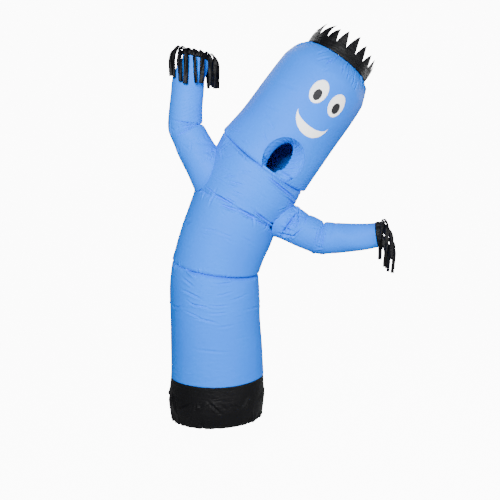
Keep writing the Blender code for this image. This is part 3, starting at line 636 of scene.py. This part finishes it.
lower_rows = rows_along(lower_tube.length, (lower_tube.length,))
lower_grid, lower_rows = carried_on(lower_tube, lower_tube.surface(lower_rows[:, None], angles), lower_rows)
lower_body = cloth("body_lower_cloth", lower_grid, blue_nylon, CLOTH, round_marks, lower_rows)
part_of(lower_body, "blue_cloth", "body_lower")
stitched("foot_stitches", lower_tube.surface(0.006, angles, 0.0003), blue_thread, "blue_cloth")


# The two sleeves: nylon tubes set into the chest, each with a hard bend at the elbow and wrinkles that
# run out of the armhole. They end in a narrow cuff that the ribbon strip is sewn over.
Station = namedtuple("Station", "x y z radius")
Trough = namedtuple("Trough", "along angle slant reach span depth")
ELBOW_AT = 2
ELBOW_CREASE = Crease(0.022, 0.014, 0.005)
BEND_SPAN = 0.055
SLEEVE_COLUMNS = 128
SLEEVE_ROUND = 2 * math.pi * 0.08


class Sleeve:
    """A sleeve from inside the chest to its cuff. Angle 90 is its front."""

    def __init__(self, stations, troughs, inner_angle, own_folds, seed):
        self.table = np.array(stations, float)
        steps = np.diff(self.table[:, :3], axis=0)
        self.knots = np.concatenate(([0.0], np.cumsum(np.linalg.norm(steps, axis=1))))
        self.length, self.elbow = self.knots[-1], self.knots[ELBOW_AT]
        self.troughs, self.inner_angle, self.own_folds = troughs, inner_angle, own_folds
        draw = np.random.default_rng(seed)
        self.waves = [
            (draw.integers(1, 5), draw.uniform(8, 40), draw.uniform(0, 6.28), draw.uniform(0.0002, 0.0007))
            for _ in range(8)
        ]

    def centre(self, at):
        low = smooth_rows(self.knots[:ELBOW_AT + 1], self.table[:ELBOW_AT + 1], np.minimum(at, self.elbow))
        high = smooth_rows(self.knots[ELBOW_AT:], self.table[ELBOW_AT:], np.maximum(at, self.elbow))
        values = np.where((at < self.elbow)[..., None], low, high)
        return values[..., :3], values[..., 3]

    def directions(self, at):
        before = self.centre(np.maximum(at - BEND_SPAN, 0))[0]
        after = self.centre(np.minimum(at + BEND_SPAN, self.length))[0]
        along = unit(after - before)
        forward = unit(FRONT - (along @ FRONT)[..., None] * along)
        return np.cross(along, forward), forward, along

    def inset(self, at, angle):
        beside_elbow = pinch(np.abs(at - self.elbow), ELBOW_CREASE.reach)
        depth = crease_depth(ELBOW_CREASE, angle - self.inner_angle) * beside_elbow
        for trough in self.troughs:
            turn = (angle - trough.angle + 180) % 360 - 180
            middle = trough.along + trough.slant * turn / trough.span
            fade = np.where(np.abs(turn) < trough.span, np.cos(np.pi / 2 * turn / trough.span), 0)
            depth = depth + trough.depth * fade * pinch(np.abs(at - middle), trough.reach)
        return depth

    def surface(self, at, angle, lift=0.0, plain=False):
        at, angle = np.broadcast_arrays(np.asarray(at, float), np.asarray(angle, float))
        centre, radius = self.centre(at)
        side, forward, _ = self.directions(at)
        turn = np.radians(angle)
        out = radius + lift
        if not plain:
            out = out - self.inset(at, angle)
            out = out + folded(turn / (2 * math.pi) * SLEEVE_ROUND, at, self.own_folds, SLEEVE_ROUND)
            for turns, pace, phase, size in self.waves:
                out = out + size * np.sin(turns * turn + pace * at + phase)
        return centre + out[..., None] * (np.cos(turn)[..., None] * side + np.sin(turn)[..., None] * forward)


left = Sleeve(
    (
        Station(-0.168, -0.044, 0.036, 0.101),
        Station(-0.219, -0.045, 0.134, 0.100),
        Station(-0.329, -0.050, 0.347, 0.088),
        Station(-0.313, -0.075, 0.498, 0.081),
        Station(-0.298, -0.090, 0.587, 0.078),
        Station(-0.273, -0.097, 0.642, 0.068),
        Station(-0.264, -0.100, 0.690, 0.063),
    ),
    (Trough(0.175, 35, 0.030, 0.030, 70, 0.012), Trough(0.235, 60, 0.050, 0.026, 55, 0.007)),
    0,
    [Fold(0.126, 0.328, -13, 0.19, 0.006, 0.0110, 0.10), Fold(0.126, 0.376, 11, 0.19, 0.006, 0.0090, -0.10)]
    + gathers(SLEEVE_ROUND, (
        (51, 34, 0.35, (0, 360), (45, 135), (0.03, 0.10), (0.004, 0.009), (0.0013, 0.0048)),
        (52, 30, 0.16, (-20, 100), (60, 130), (0.04, 0.12), (0.004, 0.009), (0.0016, 0.0064)),
        (53, 34, 0.70, (0, 360), (70, 110), (0.04, 0.14), (0.004, 0.008), (0.0016, 0.0048)),
        (54, 26, 0.25, (0, 360), (60, 120), (0.05, 0.12), (0.006, 0.012), (0.0008, 0.0029)),
    )),
    5,
)
right = Sleeve(
    (
        Station(0.063, -0.038, -0.078, 0.092),
        Station(0.164, -0.045, -0.123, 0.092),
        Station(0.362, -0.060, -0.212, 0.083),
        Station(0.506, -0.100, -0.207, 0.073),
        Station(0.590, -0.128, -0.197, 0.065),
        Station(0.646, -0.146, -0.188, 0.058),
    ),
    (
        Trough(0.165, 110, 0.020, 0.030, 75, 0.016),
        Trough(0.215, 160, 0.030, 0.026, 60, 0.011),
        Trough(0.395, 140, 0.015, 0.024, 60, 0.007),
    ),
    180,
    [
        Fold(0.128, 0.152, 12, 0.22, 0.008, 0.0200, 0.20), Fold(0.165, 0.182, -15, 0.13, 0.006, 0.0150, -0.20),
        Fold(0.100, 0.204, 25, 0.11, 0.006, 0.0110, 0.10), Fold(0.180, 0.218, -10, 0.09, 0.006, 0.0090, 0.00),
        Fold(0.126, 0.306, -6, 0.15, 0.006, 0.0100, 0.00), Fold(0.120, 0.350, 9, 0.14, 0.006, 0.0100, 0.00),
    ]
    + gathers(SLEEVE_ROUND, (
        (61, 34, 0.33, (0, 360), (45, 135), (0.03, 0.10), (0.004, 0.009), (0.0013, 0.0048)),
        (62, 46, 0.16, (20, 220), (50, 140), (0.04, 0.13), (0.005, 0.010), (0.0024, 0.0096)),
        (63, 34, 0.64, (0, 360), (70, 110), (0.04, 0.14), (0.004, 0.008), (0.0016, 0.0048)),
        (64, 26, 0.27, (0, 360), (60, 120), (0.05, 0.12), (0.006, 0.012), (0.0008, 0.0029)),
    )),
    6,
)
sleeve_angles = np.linspace(0, 360, SLEEVE_COLUMNS + 1)[:-1]
for name, sleeve in (("sleeve_left", left), ("sleeve_right", right)):
    probe = np.linspace(0, sleeve.elbow, 160)
    past = upper_tube.beyond(sleeve.surface(probe[:, None], sleeve_angles, plain=True)) + 0.002
    starts = []
    for column in range(SLEEVE_COLUMNS):
        k = np.nonzero(past[:, column] < 0)[0].max()
        share = -past[k, column] / (past[k + 1, column] - past[k, column])
        starts.append(probe[k] + share * (probe[k + 1] - probe[k]))
    starts = np.array(starts)
    rows = int((sleeve.length - starts.min()) / GRID)
    share = np.linspace(0, 1, rows + 1)[:, None]
    at = starts + (sleeve.length - starts) * share
    welt = 0.0035 * np.exp(-(((at - starts - 0.006) / 0.005) ** 2))
    points = sleeve.surface(at, sleeve_angles, welt)
    line = sleeve.surface(starts + 0.014, sleeve_angles, 0.0005)
    stitched(name + "_armhole_stitches", line, blue_thread, "blue_cloth")
    sleeve_marks = sleeve_angles / 360 * SLEEVE_ROUND
    made = cloth(name + "_cloth", points, blue_nylon, CLOTH, sleeve_marks, share[:, 0] * sleeve.length)
    part_of(made, "blue_cloth", name)

# The chest: the tube's upper panel, from the waist crease to the neck. Its holes for the sleeves leave
# a narrow seam allowance inside each of them.
SEAM_ALLOWANCE = 0.007
upper_rows = rows_along(upper_tube.length, (0, upper_tube.knots[3], upper_tube.length))
chest, upper_rows = carried_on(upper_tube, upper_tube.surface(upper_rows[:, None], angles), upper_rows)
outside = np.ones(chest.shape[:2], bool)
for sleeve in (left, right):
    marks = np.linspace(0, sleeve.elbow, 120)
    middles, radii = sleeve.centre(marks)
    along = sleeve.directions(marks)[2]
    flat = chest.reshape(-1, 3)
    nearest = np.full(len(flat), np.inf)
    for k in range(len(marks)):
        off = flat - middles[k]
        run = off @ along[k]
        gap = np.linalg.norm(off - run[:, None] * along[k], axis=1) - radii[k] + SEAM_ALLOWANCE
        here = np.abs(run) < 0.004
        nearest[here] = np.minimum(nearest[here], gap[here])
    outside &= (nearest > 0).reshape(outside.shape)
keep = outside[:-1] & outside[1:]
keep = keep & np.roll(keep, -1, axis=1)
upper_body = cloth("body_upper_cloth", chest, blue_nylon, CLOTH, round_marks, upper_rows, keep=keep)
part_of(upper_body, "blue_cloth", "body_upper")

# The head and its face opening, an oval cut into the lower front. The cloth's grid is drawn out to the
# oval's edge, and the edge has a turned roll and two rows of stitches.
FACE_TURN = 17.3
FACE_ALONG = 0.045
FACE_HALF_WIDTH = 0.103
FACE_HALF_HEIGHT = 0.112
HEAD_RADIUS = 0.245
CHIN_TOP = 0.03
head_foot = head_tube.rings(0.0)[0]
head_axis = unit(head_tube.rings(head_tube.knots[3])[0] - head_foot)
head_across = np.array((head_axis[2], 0, -head_axis[0]))
face_turn = math.radians(FACE_TURN)
face_out = math.cos(face_turn) * FRONT + math.sin(face_turn) * head_across
face_side = np.cross(face_out, head_axis)


def on_head(across, along, lift=0.0):
    """Points of the head's cloth at distances round it from the front and heights above its foot."""
    across, along = np.broadcast_arrays(np.asarray(across, float), np.asarray(along, float))
    angle = 90 - np.degrees(across / HEAD_RADIUS)
    at = along.copy()
    for _ in range(6):
        at = np.clip(at, CHIN_TOP, head_tube.length)
        found = head_tube.surface(at, angle, lift)
        left_over = along - (found - head_foot) @ head_axis
        at = at + left_over
    return found + left_over[..., None] * head_axis


def oval_on_head(across, along, half_width, half_height, turn, lift):
    return on_head(across + half_width * np.cos(turn), along + half_height * np.sin(turn), lift)


face_middle = face_turn * HEAD_RADIUS
face_centre = on_head(face_middle, FACE_ALONG)
head_rows = rows_along(head_tube.length, (0,))
head_grid = head_tube.surface(head_rows[:, None], angles)
off = head_grid - face_centre
side, up = off @ face_side, off @ head_axis
reach = np.hypot(side / FACE_HALF_WIDTH, up / FACE_HALF_HEIGHT)
hole = (reach < 1) & (off @ face_out > -0.12)
corners = np.stack((hole[:-1], hole[1:], np.roll(hole[1:], -1, 1), np.roll(hole[:-1], -1, 1)))
keep = corners.sum(0) < 3
grow = 1 / np.maximum(reach, 0.2) - 1
moved = head_grid + (grow * side)[..., None] * face_side + (grow * up)[..., None] * head_axis
head_grid = np.where(hole[..., None], moved, head_grid)
head = cloth("head_cloth", head_grid, blue_nylon, CLOTH, round_marks, head_rows, keep=keep)
part_of(head, "blue_cloth", "head")
turn = np.radians(np.linspace(-14, 194, 140))
away = np.cos(turn)[:, None] * face_side + np.sin(turn)[:, None] * head_axis
rim = oval_on_head(face_middle, FACE_ALONG, FACE_HALF_WIDTH, FACE_HALF_HEIGHT, turn, -0.0004)
outward = rim - head_foot
outward = unit(outward - (outward @ head_axis)[:, None] * head_axis)
rolled("face_edge", rim, outward, away, 0.0021, blue_nylon, "blue_cloth", closed=False)
for grow in (1.07, 1.10):
    sizes = grow * FACE_HALF_WIDTH, grow * FACE_HALF_HEIGHT
    line = oval_on_head(face_middle, FACE_ALONG, *sizes, turn, 0.0003)
    stitched(f"face_stitches_{grow:.2f}", line, blue_thread, "blue_cloth", closed=False)

# The facing inside the opening: a strip of the same nylon gathered onto the rim, drawn in towards the
# wearer's face, with slanting folds.
FACING_FROM, FACING_TO = -52, 232
INNER_HALF_WIDTH, INNER_HALF_HEIGHT = 0.064, 0.088
shares = np.linspace(-0.45, 1.0, 32)[:, None]
marks = np.linspace(0, 1, 241)
slanted = marks + 0.11 * shares
turn = np.radians(FACING_FROM + (FACING_TO - FACING_FROM) * marks)
ripple = np.zeros_like(slanted)
for size, count, phase in ((0.6, 17, 0), (0.5, 29, 1), (0.3, 41, 0)):
    ripple = ripple + size * np.sin(2 * np.pi * count * slanted + phase)
gather = 0.0060 * np.clip(shares + 0.10, 0, 1) ** 0.7 * ripple * (1 + 0.7 * np.cos(turn))
gather = gather * np.clip(1.3 - shares, 0.3, 1)
depth = np.interp(shares, (-0.20, 0.10, 0.45, 1.00), (0.0046, 0.0110, 0.0300, 0.0680))
half_width = FACE_HALF_WIDTH + (INNER_HALF_WIDTH - FACE_HALF_WIDTH) * shares + gather
half_height = FACE_HALF_HEIGHT + (INNER_HALF_HEIGHT - FACE_HALF_HEIGHT) * shares + gather
height = FACE_ALONG + half_height * np.sin(turn)
depth = depth + 0.022 * np.clip(1 - height / 0.016, 0, 1) ** 2
facing_points = on_head(face_middle + half_width * np.cos(turn), height, -depth)
facing = cloth(
    "face_lining_cloth", facing_points, blue_nylon, CLOTH, marks * 0.75, shares[:, 0] * 0.09,
    closed=False, offset=0.0,
)
part_of(facing, "blue_cloth", "face_lining")

# The top: a round panel bulged by the air, ringed by the black crown, a strip cut into pointed locks
# whose tips curl.
CAP_RADIUS = 0.1735
CAP_DOME = 0.030
CROWN_RADIUS = 0.1762
CROWN_BAND = 0.050
crown_foot, crown_across, _, crown_axis = head_tube.rings(head_tube.length)[:4]


def on_crown(radius, angle, height):
    turn = np.radians(angle)
    ring = np.cos(turn)[..., None] * crown_across + np.sin(turn)[..., None] * FRONT
    return crown_foot + radius[..., None] * ring + height[..., None] * crown_axis


cap_shares = np.linspace(0.002, 1.0, 34)[:, None]
cap_angles = np.linspace(0, 360, 97)[:-1]
draw = np.random.default_rng(7)
pucker = sum(0.0012 * np.sin(k * np.radians(cap_angles) + draw.uniform(0, 6.28)) for k in (19, 26, 33, 41))
pucker = pucker * np.clip((cap_shares - 0.3) / 0.7, 0, 1) * (cap_shares < 0.97)
cap_height = CAP_DOME * (1 - cap_shares**2) + SEAM_GAP + pucker
cap_grid = on_crown(CAP_RADIUS * cap_shares + 0 * cap_angles, cap_angles + 0 * cap_shares, cap_height)
cap_marks = cap_angles / 360 * 1.07
cap = cloth("top_cap_cloth", cap_grid[::-1], blue_nylon, CLOTH, cap_marks, 0.17 * cap_shares[:, 0])
part_of(cap, "blue_cloth", "top_cap")

LOCK_HEIGHT = 0.072
LOCK_CURLS = (
    *(-0.9, 0.1, 0.0, 0.1, 0.0, 0.1, -0.3, -1.1, -0.5, 0.9),
    *(0.3, -0.2, 0.1, 0.3, -0.2, 0.0, 0.2, -0.3, 0.1, 0.4),
)
LOCK_ROWS = 16
LOCK_COLUMNS = 9
pitch = 360 / len(LOCK_CURLS)


def cut_sheet(name, points, marks, faces, finish, thickness):
    """A sheet of any outline from its points and their places on the flat cloth in metres."""
    mesh = bpy.data.meshes.new(name)
    mesh.from_pydata(np.asarray(points).tolist(), [], faces)
    corner = np.empty(len(mesh.loops), int)
    mesh.loops.foreach_get("vertex_index", corner)
    mesh.uv_layers.new(name="metres").data.foreach_set("uv", np.asarray(marks, float)[corner].ravel())
    mesh.materials.append(finish)
    mesh.shade_smooth()
    made = bpy.data.objects.new(name, mesh)
    bpy.context.collection.objects.link(made)
    made.modifiers.new("thickness", "SOLIDIFY").thickness = thickness
    return settled(made)


def strip_faces(before, after, end=1):
    return [(before[c], after[c], after[c + 1], before[c + 1]) for c in range(len(before) - end)]


columns = len(LOCK_CURLS) * (LOCK_COLUMNS - 1)
band_angles = np.linspace(0, 360, columns + 1)[:-1]
points, crown_marks, faces = [], [], []
for share in np.linspace(0, 1, 7):
    wave = 0.0010 * share * np.sin(np.radians(9 * band_angles))
    points += list(on_crown(CROWN_RADIUS + wave, band_angles, np.full(columns, SEAM_GAP + CROWN_BAND * share)))
    crown_marks += [(math.radians(a) * CROWN_RADIUS, CROWN_BAND * share) for a in band_angles]
    first = len(points) - 2 * columns
    if first >= 0:
        before = [first + c % columns for c in range(columns + 1)]
        faces += strip_faces(before, [k + columns for k in before])
for lock, curl in enumerate(LOCK_CURLS):
    towards = abs(math.sin(math.radians(pitch * (lock + 0.5))))
    tall = LOCK_HEIGHT * (0.66 + 0.34 * towards) * (1 + 0.12 * math.sin(1.7 * lock + 1))
    lean_out = 0.004 * math.sin(3.1 * lock) - 0.012 * (1 - towards)
    before = [len(band_angles) * 6 + ((LOCK_COLUMNS - 1) * lock + c) % columns for c in range(LOCK_COLUMNS)]
    for share in np.linspace(0, 1, LOCK_ROWS + 1)[1:]:
        spread = np.linspace(-1, 1, LOCK_COLUMNS)
        half = np.where(spread > 0, 0.5 * (1 - share**1.5) ** 0.8, 0.5 * (1 - share) ** 1.05)
        angle = pitch * (lock + 0.5 + 0.6 * curl * share**2 + half * spread)
        bulge = 0.0040 * share * (1 - spread**2) * math.sin(1.3 * lock) * min(1, 3 * (1 - share))
        lock_height = np.full(LOCK_COLUMNS, CROWN_BAND + tall * share)
        ring = on_crown(CROWN_RADIUS + lean_out * share**2 + bulge, angle, lock_height)
        if share == 1:
            ring, angle = ring[4:5], angle[4:5]
        first = len(points)
        points += list(ring)
        crown_marks += [(math.radians(a) * CROWN_RADIUS, CROWN_BAND + tall * share) for a in angle]
        if share == 1:
            faces += [(before[c], first, before[c + 1]) for c in range(LOCK_COLUMNS - 1)]
        else:
            after = list(range(first, first + LOCK_COLUMNS))
            faces += strip_faces(before, after)
            before = after
crown = cut_sheet("crown_cloth", points, crown_marks, faces, black_nylon, 0.001)
part_of(crown, "black_cloth", "crown")
line = on_crown(np.full(180, CROWN_RADIUS + 0.0003), np.linspace(0, 358, 180), np.full(180, 0.008))
stitched("crown_stitches", line, black_thread, "black_cloth")

# The cuffs' fringes: a black strip over each sleeve's end, cut into ribbons. On the raised arm they fold
# over and hang all round it, on the level arm they slide round it and hang from one side.
RIBBONS = 14
RIBBON_SHARE = 0.82
RIBBON_LENGTH = 0.165
CUFF_BAND_BELOW = 0.014
CUFF_BAND_ABOVE = 0.006
CUFF_CLEAR = 0.0030
TWISTED_BY = 0.45
UP = np.array((0.0, 0.0, 1.0))


def hang_left(root, outward, along, index):
    side = np.cross(UP, outward)
    far, near = ((1 - outward[0]) / 2) ** 2, ((1 + outward[0]) / 2) ** 2
    forward = outward @ FRONT
    swung = unit(outward + 0.8 * far * (forward > -0.3) * FRONT)
    out = (0.030 + 0.036 * far + 0.003 * math.sin(2.1 * index)) * (1 - 0.35 * forward)
    drop = RIBBON_LENGTH * (1 - 0.12 * far - 0.14 * near + 0.06 * math.sin(1.3 * index + 2))
    drift = 0.008 * math.sin(2.7 * index)
    turn = math.radians(35 * math.sin(1.7 * index))
    facing_front = np.array((math.cos(turn), math.sin(turn), 0))
    return np.array((
        root,
        root + 0.010 * along + 0.004 * outward,
        root + 0.010 * along + 0.4 * out * outward,
        root + 0.80 * out * swung - 0.15 * out * UP,
        root + out * swung - (0.65 * out + 0.010) * UP,
        root + out * swung - 0.65 * drop * UP + 0.5 * drift * side,
        root + 0.98 * out * swung - drop * UP + drift * side,
    )), facing_front if side[0] > 0 else -facing_front


# Each ribbon of the level cuff: how far past the cuff it slides, its length and its flat side's turn
SLIPS = (
    (0.030, 0.118, 50), (0.058, 0.118, 20), (0.038, 0.150, 55), (0.022, 0.152, -15), (0.034, 0.150, 0),
    (0.010, 0.150, 8), (-0.024, 0.125, 0), (0.066, 0.160, 72), (0.022, 0.165, 40), (0.045, 0.150, -30),
    (0.012, 0.140, 25), (0.050, 0.130, 60), (0.016, 0.125, -40), (0.048, 0.135, 35),
)


def hang_right(root, outward, along, index):
    slide, drop, turn = SLIPS[index]
    past = FRONT if outward @ FRONT >= 0 else -FRONT
    level = math.asin(max(-1, min(1, outward[2])))
    radius = 0.058
    centre = root - radius * outward
    points = [root, root + 0.007 * along + 0.001 * outward]
    if level > 0:
        radius += 0.012 + 0.014 * math.sin(level)
        for share in (0.35, 0.7):
            ring = math.cos(level * (1 - share)) * past + math.sin(level * (1 - share)) * UP
            points.append(centre + radius * ring + (0.007 + (slide - 0.007) * share) * along)
        below = centre + radius * past
        drop -= radius * level
    else:
        radius += 0.010
        below = centre + radius * outward
    below = below + slide * along
    points += [below - 0.025 * UP, below - drop * UP]
    flat_end = math.cos(math.radians(turn)) * along + math.sin(math.radians(turn)) * FRONT
    return np.array(points), flat_end if past @ FRONT > 0 else -flat_end


UNCUT = 0.007
CURL = {"fringe_left": 0.75, "fringe_right": 1.6}
for name, sleeve, hang in (("fringe_left", left, hang_left), ("fringe_right", right, hang_right)):
    end = np.array(sleeve.length)
    along = sleeve.directions(end)[2]
    middle_of_end = sleeve.centre(end)[0] + CUFF_BAND_ABOVE * along
    fine = 12
    edge_angles = np.arange(RIBBONS * fine) / fine * 360 / RIBBONS
    low = sleeve.surface(sleeve.length - CUFF_BAND_BELOW, edge_angles, CUFF_CLEAR)
    mid = sleeve.surface(sleeve.length - CUFF_BAND_BELOW / 2, edge_angles, CUFF_CLEAR + 0.0015)
    high = sleeve.surface(sleeve.length, edge_angles, CUFF_CLEAR) + (CUFF_BAND_ABOVE + UNCUT) * along
    count = len(edge_angles)
    points = [*low, *mid, *high]
    marks = [(0.4 * k / count, v) for v in (0, 0.010, 0.020) for k in range(count)]
    ring = [k % count for k in range(count + 1)]
    faces = []
    for first in (0, count):
        faces += strip_faces([first + k for k in ring], [first + count + k for k in ring])
    for index in range(RIBBONS):
        before = [2 * count + fine * index + 1 + c for c in range(fine - 1)]
        start = high[fine * index + 1: fine * index + fine]
        root = start.mean(0) - UNCUT * along
        outward = unit(root - middle_of_end)
        flat = start[-1] - start[0]
        half = np.linalg.norm(flat) / 2
        path, end_across = hang(root, outward, along, index)
        knots = np.concatenate(([0.0], np.cumsum(np.linalg.norm(np.diff(path, axis=0), axis=1))))
        cup = 0.0035 * math.sin(1.9 * index + 0.7)
        lowest = (UNCUT + 0.003) / knots[-1]
        curl = CURL[name] * (1 + 0.75 * math.sin(2.3 * index + 1))
        for share in np.concatenate((np.linspace(lowest, 0.34, 12), np.linspace(0.37, 1.0, 20))):
            middle = smooth_rows(knots, path, knots[-1] * share)
            back = smooth_rows(knots, path, knots[-1] * share * 0.97)
            direction = unit(middle - back)
            twist = min(share / TWISTED_BY, 1)
            across = flat / (2 * half) * (1 - twist) + end_across * twist
            across = unit(across - (across @ direction) * direction)
            normal = np.cross(direction, across)
            steps = np.linspace(-1, 1, fine - 1)
            begun = min(1, max(0, (share - 0.25) / 0.35))
            bend = 0.02 + curl * begun * (1 + 0.25 * math.sin(9 * share + index))
            width = half * math.sin(bend) / bend
            ripple = half * (np.cos(bend * steps) - math.cos(bend)) / bend
            ripple += cup * min(1, 3 * share) * (1 - steps**2)
            ripple += 0.0016 * np.sin(3 * steps + 9 * share + index)
            after = list(range(len(points), len(points) + fine - 1))
            sideways = width * np.sin(bend * steps)[:, None] / math.sin(bend)
            points += list(middle + sideways * across + ripple[:, None] * normal)
            marks += [(0.4 * index / RIBBONS + half * step, 0.020 + knots[-1] * share) for step in steps]
            faces += strip_faces(before, after)
            before = after
    made = cut_sheet(name + "_cloth", points, marks, faces, black_nylon, 0.0008)
    part_of(made, "black_cloth", name)
    stitched(name + "_stitches", mid + 0.0004 * (mid - middle_of_end) / 0.06, black_thread, "black_cloth")

# The face: plain ovals for the eyes and pupils and a crescent of two arcs for the smile, cut
# from felted cloth and edge-stitched onto the head, so they follow every wrinkle under them.
Oval = namedtuple("Oval", "name across along half_width half_height lift slot")
PATCH_LIFT = 0.0006
PATCH_CLOTH = 0.001
for oval in (
    Oval("eye_left", 0.016, 0.399, 0.0425, 0.0585, PATCH_LIFT, "white_patch"),
    Oval("eye_right", 0.130, 0.402, 0.0425, 0.0585, PATCH_LIFT, "white_patch"),
    Oval("pupil_left", 0.018, 0.383, 0.0195, 0.0275, 0.0020, "dark_patch"),
    Oval("pupil_right", 0.134, 0.389, 0.0195, 0.0275, 0.0020, "dark_patch"),
):
    shares = np.linspace(1.0, 0.002, 14)[:, None]
    turn = np.linspace(0, 2 * np.pi, 65)[:-1]
    sizes = shares * oval.half_width, shares * oval.half_height
    grid = oval_on_head(oval.across, oval.along, *sizes, turn, oval.lift)
    finish = white_felt if oval.slot == "white_patch" else grey_felt
    around, along = turn * oval.half_width, shares[:, 0] * oval.half_height
    made = cloth(oval.name + "_patch", grid, finish, PATCH_CLOTH, around, along, offset=1.0)
    part_of(made, oval.slot, oval.name)
    edge = 1 - 0.0022 / oval.half_width
    sizes = edge * oval.half_width, edge * oval.half_height
    line = oval_on_head(oval.across, oval.along, *sizes, turn, oval.lift + PATCH_CLOTH + 0.0003)
    thread = white_thread if oval.slot == "white_patch" else black_thread
    stitched(oval.name + "_stitches", line, thread, oval.slot, pitch=0.0030)

SMILE_TILT = math.radians(3.5)
rows = np.linspace(0, 1, 11)[:, None]
turn = np.linspace(0.02, np.pi - 0.02, 61)
sag = 0.092 + (0.044 - 0.092) * rows
x, y = -0.092 * np.cos(turn) + 0 * rows, -sag * np.sin(turn)
across = 0.074 + x * math.cos(SMILE_TILT) - y * math.sin(SMILE_TILT)
along = 0.290 + x * math.sin(SMILE_TILT) + y * math.cos(SMILE_TILT)
grid = on_head(across, along, PATCH_LIFT)
smile = cloth(
    "smile_patch", grid[::-1], white_felt, PATCH_CLOTH, turn * 0.09, rows[:, 0] * 0.04,
    closed=False, offset=1.0,
)
part_of(smile, "white_patch", "smile")
for row in (0.07, 0.93):
    places = [
        np.array([np.interp(row, rows[:, 0], table[:, k]) for k in range(3, len(turn) - 3)])
        for table in (across, along)
    ]
    line = on_head(*places, PATCH_LIFT + PATCH_CLOTH + 0.0003)
    stitched(f"smile_stitches_{row:.2f}", line, white_thread, "white_patch", closed=False, pitch=0.0030)
